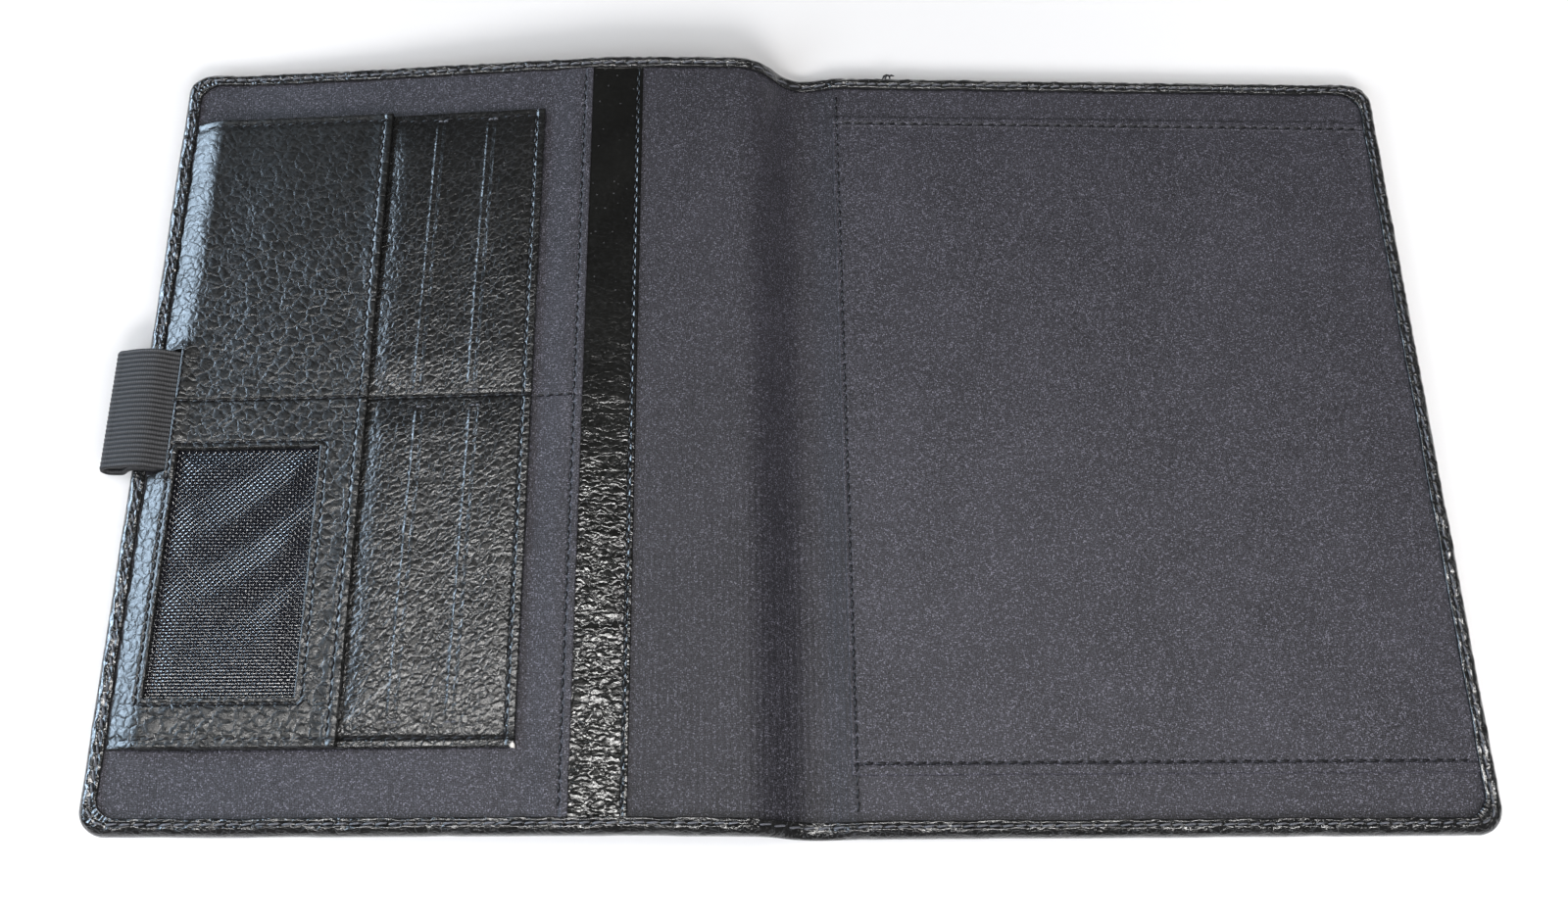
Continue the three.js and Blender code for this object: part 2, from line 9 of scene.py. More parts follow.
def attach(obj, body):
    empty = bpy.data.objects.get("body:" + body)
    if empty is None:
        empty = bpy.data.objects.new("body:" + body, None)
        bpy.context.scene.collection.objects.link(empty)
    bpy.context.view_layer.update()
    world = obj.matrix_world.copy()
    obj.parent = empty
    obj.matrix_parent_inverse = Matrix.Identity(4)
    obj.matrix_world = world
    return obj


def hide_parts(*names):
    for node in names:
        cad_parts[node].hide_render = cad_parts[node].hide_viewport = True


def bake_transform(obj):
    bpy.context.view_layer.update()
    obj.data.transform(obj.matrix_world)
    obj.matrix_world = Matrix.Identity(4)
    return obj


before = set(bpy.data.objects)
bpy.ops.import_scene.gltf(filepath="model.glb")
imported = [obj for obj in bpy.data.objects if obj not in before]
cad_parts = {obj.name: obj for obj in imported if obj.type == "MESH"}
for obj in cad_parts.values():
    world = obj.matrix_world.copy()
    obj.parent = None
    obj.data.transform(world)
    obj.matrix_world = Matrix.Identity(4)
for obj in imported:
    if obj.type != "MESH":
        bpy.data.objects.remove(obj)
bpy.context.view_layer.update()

# Sizes in millimetres, as in the solids
SHIFT_X = 4.0
HALF = 117.5
EDGE = 183.5
CORNER = 7.0
BACK_FOLD, FRONT_FOLD = 11.5, -14.5
RISE, TWIST, TAPER = 8.0, 0.25, 2.0
COVER_RISE = [
    (1, 0), (0.89, 0), (0.76, 0.17), (0.63, 0.38), (0.5, 0.6), (0.37, 0.82), (0.245, 1), (0.12, 1.03), (0, 1)
]
SPINE_RISE = [(0.154, 0.95), (0.269, 0.78), (0.404, 0.4), (0.512, 0.1), (0.62, 0)]
RISE_X = [FRONT_FOLD - share * (EDGE + FRONT_FOLD) for share, _ in COVER_RISE]
RISE_X += [FRONT_FOLD + share * (BACK_FOLD - FRONT_FOLD) for share, _ in SPINE_RISE]
RISE_S = [rise for _, rise in COVER_RISE + SPINE_RISE]
LINING_TOP, CLOTH_TOP, RIM_TOP, SPINE_TOP = 3.5, 4.0, 5.0, 2.75
CARD_TOP, ID_TOP, ID_DROP = 5.7, 7.05, 2.1
FACING_TOP = 4.3
NET_LEVEL = 5.66
LINING_THICK, FACING_THICK, PANEL_THICK = 0.4, 0.7, 0.9
LINING_REACH, LINING_DEPTH = 180.3, HALF - 3.2
PANEL_NEAR, PANEL_FAR = -95.5, 98.5
CARD_LEFT, CARD_RIGHT = -171.8, -74.0
ID_LEFT, ID_RIGHT = -178.8, -119.5
WINDOW = (-170.5, -131.5, -82.0, -11.0)
LOOP_NEAR, LOOP_FAR = -16.9, 19.5
NOTCH = (-185.0, -173.3, -17.6, 20.2)
PAGE_RIGHT, FACING_RIGHT = -60.0, -45.0
BAND_LEFT, BAND_NEAR, BAND_FAR = 12.8, -101.3, 103.0
SLITS = [(-90.0, 6.0, 95.0), (-105.0, 6.0, 95.0), (-90.0, -88.5, 0.5), (-105.0, -88.5, 0.5)]
SLIT_LEAN = 0.012
MIDDLE_SEAM_Y = 4.0
NEAR_SEAM_Y, FAR_SEAM_Y = PANEL_NEAR + 2.5, PANEL_FAR - 2.3
CARD_SEAM_X, ID_SEAM_X = CARD_RIGHT - 2.5, ID_RIGHT - 2.6
WINDOW_SEAM = 1.9
PAGE_SEAM_X, FACING_SEAM_X, GUTTER_SEAM_X = -62.4, -46.5, 14.2
BAND_NEAR_SEAM_Y, BAND_FAR_SEAM_Y = -98.2, 100.6
SEAM_END_Y = 111
UPRIGHT_SLANT = -0.12
RIM_WIDTH = 4.4
INNER_CORNER = 6.0
STITCH_INSET = 2.9
PITCH = 3.38
SPLIT_FRONT, SPLIT_SPINE, SPLIT_BACK = -20.0, -2.0, 15.0


def smooth(a, b, x):
    """Rises smoothly from 0 at a to 1 at b, or falls where b is below a."""
    t = np.clip((np.asarray(x, float) - a) / (b - a), 0, 1)
    return t * t * (3 - 2 * t)


def bump(x, centre, width):
    """A rounded ridge, 1 high at its centre."""
    return np.exp(-(((np.asarray(x, float) - centre) / width) ** 2))


def value_noise(x, y, size, seed):
    """Smooth random values from -1 to 1, one lattice step every size millimetres."""
    lattice = 97
    table = np.random.RandomState(seed).rand(lattice, lattice) * 2 - 1
    gx, gy = np.asarray(x, float) / size + 300.0, np.asarray(y, float) / size + 300.0
    ix, iy = np.floor(gx).astype(int), np.floor(gy).astype(int)
    fx, fy = gx - ix, gy - iy
    fx, fy = fx * fx * (3 - 2 * fx), fy * fy * (3 - 2 * fy)
    left, right = ix % lattice, (ix + 1) % lattice
    near, far = iy % lattice, (iy + 1) % lattice
    a, b = table[left, near], table[right, near]
    c, d = table[left, far], table[right, far]
    return (a * (1 - fx) + b * fx) * (1 - fy) + (c * (1 - fx) + d * fx) * fy


def to_rest(x, y, z):
    """Flat millimetres to the rest shape in metres: the front cover's rise, twist and taper."""
    x, y, z = (np.asarray(v, float) for v in (x, y, z))
    window = 3.0 + 2.0 * smooth(-16.0, -26.0, x)
    share = sum(np.interp(x + window * k, RISE_X, RISE_S) for k in (-1, -0.5, 0, 0.5, 1)) / 5
    away = np.clip((FRONT_FOLD - x) / (EDGE + FRONT_FOLD), 0, 1)
    across = y / HALF
    rise = RISE * (1 + TWIST * across) * share
    return np.stack([(x + SHIFT_X) / 1000, (y - TAPER * away * across) / 1000, (z + rise) / 1000], -1)


# Mesh helpers
def lifted(points):
    """Points of the flat layout, in the rest shape."""
    flat = np.array(points, float).reshape(-1, 3)
    return to_rest(flat[:, 0], flat[:, 1], flat[:, 2])


def new_piece(name, points, faces, material):
    """A smooth-shaded object of these points and faces."""
    mesh = bpy.data.meshes.new(name)
    mesh.from_pydata([tuple(p) for p in points], [], faces)
    mesh.validate()
    mesh.update()
    mesh.polygons.foreach_set("use_smooth", [True] * len(mesh.polygons))
    obj = bpy.data.objects.new(name, mesh)
    bpy.context.scene.collection.objects.link(obj)
    mesh.materials.append(material)
    return obj


def stations(start, end, step, edges=(True, True), dense=()):
    """Grid lines from start to end, closer together at the edges and at each dense place."""
    count = max(2, int(round(abs(end - start) / step)) + 1)
    at = list(np.linspace(start, end, count))
    close = [0, 0.08, 0.2, 0.38, 0.6, 0.9]
    if edges[0]:
        at += [start + c for c in close]
    if edges[1]:
        at += [end - c for c in close]
    for place in dense:
        at += [place + c for c in (-1.0, -0.65, -0.4, -0.2, 0, 0.2, 0.4, 0.65, 1.0)]
    at = sorted(a for a in at if start - 1e-9 <= a <= end + 1e-9)
    kept = [at[0]]
    for a in at[1:]:
        if a - kept[-1] > 0.07:
            kept.append(a)
    kept[-1] = end
    return np.array(kept)


def sheet_mesh(xs, ys, top, thick, holes=()):
    """A sheet with a shaped top, an underside and walls, over a grid that may have openings."""
    X, Y = np.meshgrid(xs, ys, indexing="ij")
    Z = top(X, Y)
    nx, ny = X.shape
    upper = to_rest(X, Y, Z).reshape(-1, 3)
    lower = to_rest(X, Y, Z - thick).reshape(-1, 3)
    points = np.concatenate([upper, lower])
    offset = nx * ny
    cx, cy = (xs[:-1] + xs[1:]) / 2, (ys[:-1] + ys[1:]) / 2
    solid = np.ones((nx - 1, ny - 1), bool)
    for left, right, near, far in holes:
        inside_x = (cx > left) & (cx < right)
        inside_y = (cy > near) & (cy < far)
        solid &= ~np.outer(inside_x, inside_y)
    faces = []
    for i in range(nx - 1):
        for j in range(ny - 1):
            if not solid[i, j]:
                continue
            a, b, c, d = i * ny + j, (i + 1) * ny + j, (i + 1) * ny + j + 1, i * ny + j + 1
            faces.append((a, b, c, d))
            faces.append((d + offset, c + offset, b + offset, a + offset))
            if i == 0 or not solid[i - 1, j]:
                faces.append((d, a, a + offset, d + offset))
            if i == nx - 2 or not solid[i + 1, j]:
                faces.append((b, c, c + offset, b + offset))
            if j == 0 or not solid[i, j - 1]:
                faces.append((a, b, b + offset, a + offset))
            if j == ny - 2 or not solid[i, j + 1]:
                faces.append((c, d, d + offset, c + offset))
    used = sorted({v for f in faces for v in f})
    renumber = {v: k for k, v in enumerate(used)}
    return points[used], [tuple(renumber[v] for v in f) for f in faces]


def outward(obj):
    """Turns every face of a closed piece outwards."""
    bm = bmesh.new()
    bm.from_mesh(obj.data)
    bmesh.ops.recalc_face_normals(bm, faces=bm.faces)
    bm.to_mesh(obj.data)
    bm.free()
    obj.data.update()
    return obj


def sheet_piece(name, xs, ys, top, thick, material, holes=()):
    """An object made of one sheet, with crisp edges."""
    points, faces = sheet_mesh(xs, ys, top, thick, holes)
    piece = outward(new_piece(name, points, faces, material))
    piece.data.set_sharp_from_angle(angle=math.radians(40))
    return piece


def rolled(distance, radius):
    """How far a rounded edge has dropped at a distance inward from the edge."""
    d = np.clip(distance, 0, radius)
    return radius - np.sqrt(np.maximum(radius * radius - (radius - d) ** 2, 0))


# Surfaces over the flat layout, in millimetres
def skin_scale(x):
    """Thickness of the folded leather edge, thinner where no board is inside."""
    x = np.asarray(x, float)
    spine = smooth(-16.3, -3.0, x) * (1 - smooth(4.5, 15.2, x))
    return (RIM_TOP * (1 - spine) + SPINE_TOP * spine) / RIM_TOP


def lining_top(x, y):
    x = np.asarray(x, float)
    spine = smooth(-16.3, -3.5, x) * (1 - smooth(4.5, 15.2, x))
    flat = LINING_TOP * (1 - spine) + 1.75 * spine
    ripple = 0.10 * value_noise(x * 3.0, y, 26, 5) * spine + 0.05 * value_noise(x, y, 21, 6)
    return flat + ripple


def pocket_panel_top(x, y):
    step = smooth(-73.0, -63.6, x) * 0.66
    edge = rolled(PAGE_RIGHT - np.asarray(x, float), 0.3)
    seam = 0.26 * bump(x, PAGE_SEAM_X, 0.4)
    crease = 0.12 * bump(y, MIDDLE_SEAM_Y, 0.4) * smooth(-75, -73.5, x)
    sway = 0.07 * value_noise(x, y, 19, 7)
    return CLOTH_TOP + step - edge - seam - crease + sway * (1 - smooth(105, 111, np.abs(y)))


def facing_top(x, y):
    ripple = 0.13 * value_noise(x * 0.45, y, 3.4, 8) + 0.09 * value_noise(x * 0.5, y, 1.8, 9)
    ripple = ripple * (0.12 + 0.88 * smooth(66, -50, y))
    ripple = ripple * smooth(-60, -58, x) * (1 - smooth(-47.6, -46.8, x)) - 0.25 * smooth(-59, -61.5, x)
    seam = 0.28 * bump(x, FACING_SEAM_X, 0.4)
    edge = rolled(FACING_RIGHT - np.asarray(x, float), 0.35)
    return FACING_TOP + ripple - seam - edge


def organizer_edges(y):
    return rolled(np.minimum(np.asarray(y, float) - PANEL_NEAR, PANEL_FAR - np.asarray(y, float)), 0.45)


def card_top(x, y):
    """The card panel: puffed between its seams, with raised lips along the slits."""
    x, y = np.asarray(x, float), np.asarray(y, float)
    z = CARD_TOP - organizer_edges(y) - rolled(CARD_RIGHT - x, 0.45)
    away = np.minimum(np.abs(y - MIDDLE_SEAM_Y), np.minimum(y - PANEL_NEAR, PANEL_FAR - y))
    pillow = 0.95 * (1 - np.exp(-((away / 7.0) ** 2))) * smooth(ID_RIGHT - 3.0, ID_RIGHT + 6.0, x)
    pillow = pillow * (1 - 0.45 * smooth(ID_RIGHT + 8, ID_RIGHT + 24, x))
    pillow = pillow - 0.6 * smooth(ID_RIGHT - 6, ID_RIGHT - 12, x)
    z = z + pillow * smooth(CARD_RIGHT, CARD_RIGHT - 7, x)
    z = z - 0.34 * bump(x, CARD_SEAM_X, 0.4) - 0.44 * bump(y, MIDDLE_SEAM_Y, 0.5)
    z = z - 0.34 * (bump(y, FAR_SEAM_Y, 0.4) + bump(y, NEAR_SEAM_Y, 0.4))
    for at, near, far in SLITS:
        there = smooth(near - 0.8, near + 2.2, y) * (1 - smooth(far - 2.2, far + 0.8, y))
        lean = at + SLIT_LEAN * (y - (near + far) / 2)
        lips = 0.13 * bump(x, lean + 1.2, 0.45) + 0.18 * bump(x, lean - 1.2, 0.45)
        z = z + there * (lips + 0.06 * bump(x, lean, 0.9) - 0.10 * bump(x, lean, 0.2))
    z = z + 0.06 * value_noise(x * 0.5, y, 2.6, 11) + 0.10 * value_noise(x, y, 17, 12)
    return z


def id_top(x, y):
    """The window panel: rolled down at its left edge, lapped over the loop and grooved along its seams."""
    x, y = np.asarray(x, float), np.asarray(y, float)
    roll = 9.0
    t = np.clip((ID_LEFT + roll - x) / roll, 0, 1)
    z = ID_TOP - ID_DROP * t**1.7 - 0.55 * np.exp(-np.clip(x - ID_LEFT, 0, None) / roll)
    _, notch_right, notch_near, notch_far = NOTCH
    over_loop = smooth(-21, -17.5, y) * (1 - smooth(20, 24, y)) * smooth(notch_right - 4, notch_right, x)
    z = z + 0.85 * over_loop * np.exp(-((np.clip(x - notch_right, 0, None) / 2.8) ** 2))
    past_notch = np.clip(np.maximum(notch_near - y, y - notch_far), 0, None)
    z = z - rolled(np.hypot(np.clip(x - notch_right, 0, None), past_notch), 0.4)
    z = z - organizer_edges(y) - rolled(ID_RIGHT - x, 0.45)
    z = z + 0.45 * bump(x, ID_RIGHT - 1.2, 3.4) * (1 - 0.7 * bump(y, MIDDLE_SEAM_Y, 9))
    z = z - 0.20 * bump(x, ID_SEAM_X, 0.45) - 0.34 * bump(y, MIDDLE_SEAM_Y, 0.5)
    z = z - 0.36 * (bump(y, FAR_SEAM_Y, 0.4) + bump(y, NEAR_SEAM_Y, 0.4))
    left, right, near, far = WINDOW
    dx = np.maximum(np.maximum(left - x, x - right), 0)
    dy = np.maximum(np.maximum(near - y, y - far), 0)
    gap = np.hypot(dx, dy)
    z = z - 0.22 * bump(gap, WINDOW_SEAM, 0.45) - np.where(gap < 0.5, rolled(gap, 0.5) * 0.9, 0)
    swell = 0.30 * smooth(0, 26, np.abs(y - MIDDLE_SEAM_Y)) * smooth(ID_RIGHT, ID_RIGHT - 14, x)
    z = z + swell * smooth(ID_LEFT, ID_LEFT + roll, x)
    z = z + 0.07 * value_noise(x, y, 3.1, 13) + 0.12 * value_noise(x, y, 15, 14) * smooth(0, 3, gap)
    return z


def band_top(x, y):
    """The notepad band: hemmed near and far, grooved at its seams, and slightly slack between them."""
    x, y = np.asarray(x, float), np.asarray(y, float)
    hem = smooth(3.6, 2.9, BAND_FAR - y) + smooth(3.6, 2.9, y - BAND_NEAR)
    within = np.minimum(BAND_FAR - y, y - BAND_NEAR)
    edge = rolled(within, 0.35) + rolled(x - BAND_LEFT, 0.3)
    puff = 0.30 * smooth(0, 14, within) * smooth(14, 34, x) * smooth(180, 160, x)
    seams = bump(y, BAND_FAR_SEAM_Y, 0.4) + bump(y, BAND_NEAR_SEAM_Y, 0.4) + bump(x, GUTTER_SEAM_X, 0.4)
    sway = 0.11 * value_noise(x, y, 31, 15)
    return CLOTH_TOP + 0.14 * hem + puff - edge - 0.22 * seams + sway * smooth(14, 24, x)


# Shader helpers
class Net:
    """A node tree with short ways to add a node and to link or set its inputs."""

    def __init__(self, tree):
        self.tree = tree

    def add(self, kind, inputs=None, **settings):
        made = self.tree.nodes.new(kind)
        for key, value in settings.items():
            setattr(made, key, value)
        for key, value in (inputs or {}).items():
            self.feed(made.inputs[key], value)
        return made

    def feed(self, socket, value):
        if isinstance(value, bpy.types.NodeSocket):
            self.tree.links.new(value, socket)
        else:
            socket.default_value = value

    def math(self, operation, a, b=0.0, clamp=False):
        return self.add("ShaderNodeMath", {0: a, 1: b}, operation=operation, use_clamp=clamp).outputs[0]

    def vector(self, operation, a, b):
        return self.add("ShaderNodeVectorMath", {0: a, 1: b}, operation=operation).outputs[0]

    def spread(self, value, low, high, to_low=0.0, to_high=1.0):
        inputs = {"Value": value, "From Min": low, "From Max": high, "To Min": to_low, "To Max": to_high}
        return self.add("ShaderNodeMapRange", inputs, clamp=True).outputs["Result"]

    def mix(self, share, a, b):
        made = self.add("ShaderNodeMix", data_type="RGBA")
        self.feed(made.inputs[0], share)
        self.feed(made.inputs[6], a)
        self.feed(made.inputs[7], b)
        return made.outputs[2]

    def noise(self, vector, scale, detail=2.0, roughness=0.5):
        inputs = {"Vector": vector, "Scale": scale, "Detail": detail, "Roughness": roughness}
        return self.add("ShaderNodeTexNoise", inputs).outputs["Fac"]

    def cell_edges(self, vector, scale):
        """Distance to the nearest edge of a random cell pattern."""
        inputs = {"Vector": vector, "Scale": scale}
        return self.add("ShaderNodeTexVoronoi", inputs, feature="DISTANCE_TO_EDGE").outputs["Distance"]

    def times(self, *factors):
        """The product of two or more values."""
        made = factors[0]
        for factor in factors[1:]:
            made = self.math("MULTIPLY", made, factor)
        return made

    def relief(self, shader, height, strength, depth):
        """Bumps the surface by a height, at a depth in metres."""
        bump_node = self.add("ShaderNodeBump", {"Strength": strength, "Distance": depth, "Height": height})
        self.feed(shader.inputs["Normal"], bump_node.outputs[0])

    def set_inputs(self, shader, **values):
        """Sets inputs of the shader, named with underscores for spaces."""
        for key, value in values.items():
            self.feed(shader.inputs[key.replace("_", " ")], value)

    def millimetres(self):
        place = self.add("ShaderNodeTexCoord").outputs["Object"]
        return self.vector("MULTIPLY", place, (1000.0, 1000.0, 1000.0))


def new_group(name, inputs, outputs):
    tree = bpy.data.node_groups.new(name, "ShaderNodeTree")
    for label, kind in inputs:
        tree.interface.new_socket(label, in_out="INPUT", socket_type=kind)
    for label, kind in outputs:
        tree.interface.new_socket(label, in_out="OUTPUT", socket_type=kind)
    net = Net(tree)
    return tree, net, net.add("NodeGroupInput").outputs, net.add("NodeGroupOutput").inputs


def grain_group():
    """Pebbled leather: a height from 0 to 1 in domes parted by creases, and a mask of the creases."""
    number, vector = "NodeSocketFloat", "NodeSocketVector"
    tree, net, given, out = new_group(
        "leather_grain",
        [("Place", vector), ("Pebble", number), ("Crinkle", number), ("Stretch", number), ("Turn", number)],
        [("Height", number), ("Crease", number)],
    )
    wobble = net.add("ShaderNodeTexNoise", {"Vector": given["Place"], "Scale": 0.5, "Detail": 1.0})
    push = net.vector("MULTIPLY", wobble.outputs["Color"], (2.0, 2.0, 2.0))
    shifted = net.vector("ADD", given["Place"], push)
    spin = {"Vector": shifted, "Angle": given["Turn"]}
    turned = net.add("ShaderNodeVectorRotate", spin, rotation_type="Z_AXIS")
    squeeze = net.add("ShaderNodeCombineXYZ", {0: given["Stretch"], 1: 1.0, 2: 1.0}).outputs[0]
    long_way = net.vector("MULTIPLY", turned.outputs[0], squeeze)
    edge = net.cell_edges(long_way, given["Pebble"])
    dome = net.math("POWER", net.spread(edge, 0.0, 0.27), 0.75)
    fine = net.cell_edges(long_way, net.math("MULTIPLY", given["Pebble"], 2.1))
    small = net.math("POWER", net.spread(fine, 0.0, 0.4), 0.6)
    fold = net.noise(long_way, 0.5, 2.0, 0.5)
    ridge = net.math("ABSOLUTE", net.math("SUBTRACT", fold, 0.5))
    ridges = net.spread(ridge, 0.0, 0.09)
    rough = net.math("ADD", net.math("MULTIPLY", small, 0.55), net.math("MULTIPLY", ridges, 0.8))
    height = net.math("ADD", net.math("MULTIPLY", dome, 0.62), net.math("MULTIPLY", rough, given["Crinkle"]))
    net.feed(out["Height"], height)
    net.feed(out["Crease"], net.spread(edge, 0.085, 0.02))
    return tree


def lint_group():
    """Sparse pale specks of dust and lint."""
    number, vector = "NodeSocketFloat", "NodeSocketVector"
    tree, net, given, out = new_group("lint", [("Place", vector), ("Scale", number)], [("Speck", number)])
    cells = net.add("ShaderNodeTexVoronoi", {"Vector": given["Place"], "Scale": given["Scale"]})
    dot = net.spread(cells.outputs["Distance"], 0.26, 0.14)
    chosen = net.add("ShaderNodeSeparateColor", {0: cells.outputs["Color"]}).outputs[0]
    rare = net.spread(chosen, 0.86, 0.90)
    net.feed(out["Speck"], net.math("MULTIPLY", dot, rare))
    return tree


def group_node(net, tree, inputs):
    made = net.add("ShaderNodeGroup")
    made.node_tree = tree
    for key, value in inputs.items():
        net.feed(made.inputs[key], value)
    return made.outputs


def new_material(name):
    material = bpy.data.materials.new(name)
    material.use_nodes = True
    net = Net(material.node_tree)
    material.node_tree.nodes.clear()
    shader = net.add("ShaderNodeBsdfPrincipled")
    output = net.add("ShaderNodeOutputMaterial")
    material.node_tree.links.new(shader.outputs[0], output.inputs[0])
    return material, net, shader


GRAIN = grain_group()
LINT = lint_group()
# Pale colour of the creases: partly dust, partly a painted highlight on the crease walls
DUST_AND_CREASE_GLINT = (0.13, 0.137, 0.150, 1.0)
LEATHER_LINT = (0.35, 0.36, 0.38, 1.0)
CLOTH_LINT = (0.30, 0.30, 0.34, 1.0)
RUBBED = (0.72, 0.70, 0.66, 1.0)
SCRATCHED = (0.24, 0.25, 0.26, 1.0)
NOT_CALM = (900.0, 901.0, 1.0)


def worn_spot(net, place, parts, x, y, reach):
    """A mask round a rubbed spot, with a ragged edge."""
    dx = net.math("SUBTRACT", parts[0], x + SHIFT_X)
    dy = net.math("SUBTRACT", parts[1], y)
    far = net.math("SQRT", net.math("ADD", net.times(dx, dx), net.times(dy, dy)))
    ragged = net.math("ADD", far, net.times(net.noise(place, 2.4), reach * 0.7))
    return net.spread(ragged, reach * 1.2, reach * 0.8)


def scratch_line(net, place, parts, start, end, half):
    """A mask along a thin broken scratch between two points."""
    length = math.hypot(end[0] - start[0], end[1] - start[1])
    ux, uy = (end[0] - start[0]) / length, (end[1] - start[1]) / length
    dx = net.math("SUBTRACT", parts[0], start[0] + SHIFT_X)
    dy = net.math("SUBTRACT", parts[1], start[1])
    reach = net.math("ADD", net.times(dx, ux), net.times(dy, uy))
    side = net.math("SUBTRACT", net.times(dx, uy), net.times(dy, ux))
    wobble = net.times(net.math("SUBTRACT", net.noise(place, 0.5), 0.5), 1.4)
    side = net.math("ABSOLUTE", net.math("ADD", side, wobble))
    ends = net.times(net.spread(reach, 0.0, 1.0), net.spread(reach, length, length - 1.0))
    return net.times(net.spread(side, half, half * 0.4), ends, net.spread(net.noise(place, 1.5), 0.36, 0.56))


def leather(name, tone, grain, rough, relief, crease, calm=NOT_CALM, wear=(), scratch=(), coat=0.0):
    """Black leather. Grain is cells per mm, crinkle, stretch and turn, and relief is its depth in mm.

    Calm says where the grain is pressed flat: down to its third value from the first y on, and not
    at all below the second.
    """
    material, net, shader = new_material(name)
    pebble, crinkle, stretch, turn = grain
    place = net.millimetres()
    given = {"Place": place, "Pebble": pebble, "Crinkle": crinkle, "Stretch": stretch, "Turn": turn}
    grain = group_node(net, GRAIN, given)
    cloud = net.noise(place, 0.06, 3.0)
    light = tuple(min(1.0, c * 1.7) for c in tone) + (1.0,)
    colour = net.mix(net.spread(cloud, 0.35, 0.65), tone + (1.0,), light)
    parts = net.add("ShaderNodeSeparateXYZ", {0: place}).outputs
    # The creases take a pale colour in patches, less where the grain is calm: partly dust, partly a painted
    # highlight on the crease walls
    lively = net.spread(parts[1], calm[0], calm[1], calm[2], 1.0)
    patchy = net.spread(net.noise(place, 0.7, 2.0), 0.36, 0.60, 0.0, crease)
    colour = net.mix(net.times(grain["Crease"], patchy, lively), colour, DUST_AND_CREASE_GLINT)
    speck = group_node(net, LINT, {"Place": place, "Scale": 0.8})["Speck"]
    colour = net.mix(net.times(speck, 0.18), colour, LEATHER_LINT)
    for x, y, reach in wear:
        colour = net.mix(worn_spot(net, place, parts, x, y, reach), colour, RUBBED)
    for first, last, half in scratch:
        colour = net.mix(scratch_line(net, place, parts, first, last, half), colour, SCRATCHED)
    roughness = net.spread(net.noise(place, 0.9, 3.0), 0.3, 0.7, rough - 0.05, rough + 0.08)
    net.set_inputs(shader, Base_Color=colour, Roughness=roughness, Coat_Weight=coat, Coat_Roughness=0.12)
    net.relief(shader, net.times(grain["Height"], lively), 1.0, relief / 1000)
    return material


def wave(net, value, length):
    """A sine along a value in millimetres, with the given wave length."""
    return net.math("SINE", net.math("MULTIPLY", value, 2 * math.pi / length))


def cloth(name, tone, ribs=0.0):
    """Fine satin twill: crossing threads, a speckled fuzz with painted glint specks, and a dull shine. Ribs
    adds upright lines.
    """
    material, net, shader = new_material(name)
    place = net.millimetres()
    parts = net.add("ShaderNodeSeparateXYZ", {0: place}).outputs
    rising = wave(net, net.math("ADD", parts[0], parts[1]), 1.02)
    falling = wave(net, net.math("SUBTRACT", parts[0], parts[1]), 1.30)
    weave = net.spread(net.times(rising, falling), -1.0, 1.0)
    fuzz = net.noise(place, 2.6, 1.5, 0.8)
    cloud = net.noise(place, 0.045, 3.0, 0.5)
    light = tuple(c * 2.6 for c in tone) + (1.0,)
    dark = tuple(c * 0.25 for c in tone) + (1.0,)
    glint = tuple(c * 10.0 for c in tone) + (1.0,)
    threads = net.times(net.math("SUBTRACT", weave, 0.5), 0.5)
    share = net.math("ADD", net.spread(fuzz, 0.36, 0.66), threads)
    colour = net.mix(net.math("ADD", share, net.spread(cloud, 0.35, 0.7, -0.06, 0.10), True), dark, light)
    # Painted glints: sparse bright specks in the colour, standing in for the satin's sparkle
    cells = net.add("ShaderNodeTexVoronoi", {"Vector": place, "Scale": 2.7}).outputs
    chance = net.add("ShaderNodeSeparateColor", {0: cells["Color"]}).outputs[0]
    lit = net.times(net.spread(chance, 0.62, 1.0), net.spread(cells["Distance"], 0.62, 0.25))
    colour = net.mix(lit, colour, glint)
    speck = group_node(net, LINT, {"Place": place, "Scale": 0.9})["Speck"]
    colour = net.mix(net.times(speck, 0.5), colour, CLOTH_LINT)
    height = net.math("ADD", net.times(weave, 0.6), net.times(fuzz, 0.9))
    if ribs:
        lines = net.times(net.spread(wave(net, parts[0], 1.7), -1.0, 1.0), net.spread(parts[1], 30.0, -50.0))
        colour = net.mix(net.times(lines, ribs), colour, dark)
        height = net.math("ADD", height, net.times(lines, ribs * 2))
    net.set_inputs(shader, Base_Color=colour, Roughness=0.48, Specular_IOR_Level=0.24, Sheen_Weight=0.03)
    net.relief(shader, height, 0.6, 0.00012)
    return material


def thread(name, tone, rough, shine=0.5):
    """Twisted thread, lighter on its raised fibres."""
    material, net, shader = new_material(name)
    twist = net.noise(net.millimetres(), 3.5, 2.0, 0.7)
    light = tuple(min(1.0, c * 2.2) for c in tone) + (1.0,)
    colour = net.mix(net.spread(twist, 0.4, 0.7), tone + (1.0,), light)
    net.set_inputs(shader, Base_Color=colour, Roughness=rough, Specular_IOR_Level=shine)
    net.relief(shader, twist, 0.4, 0.0001)
    return material


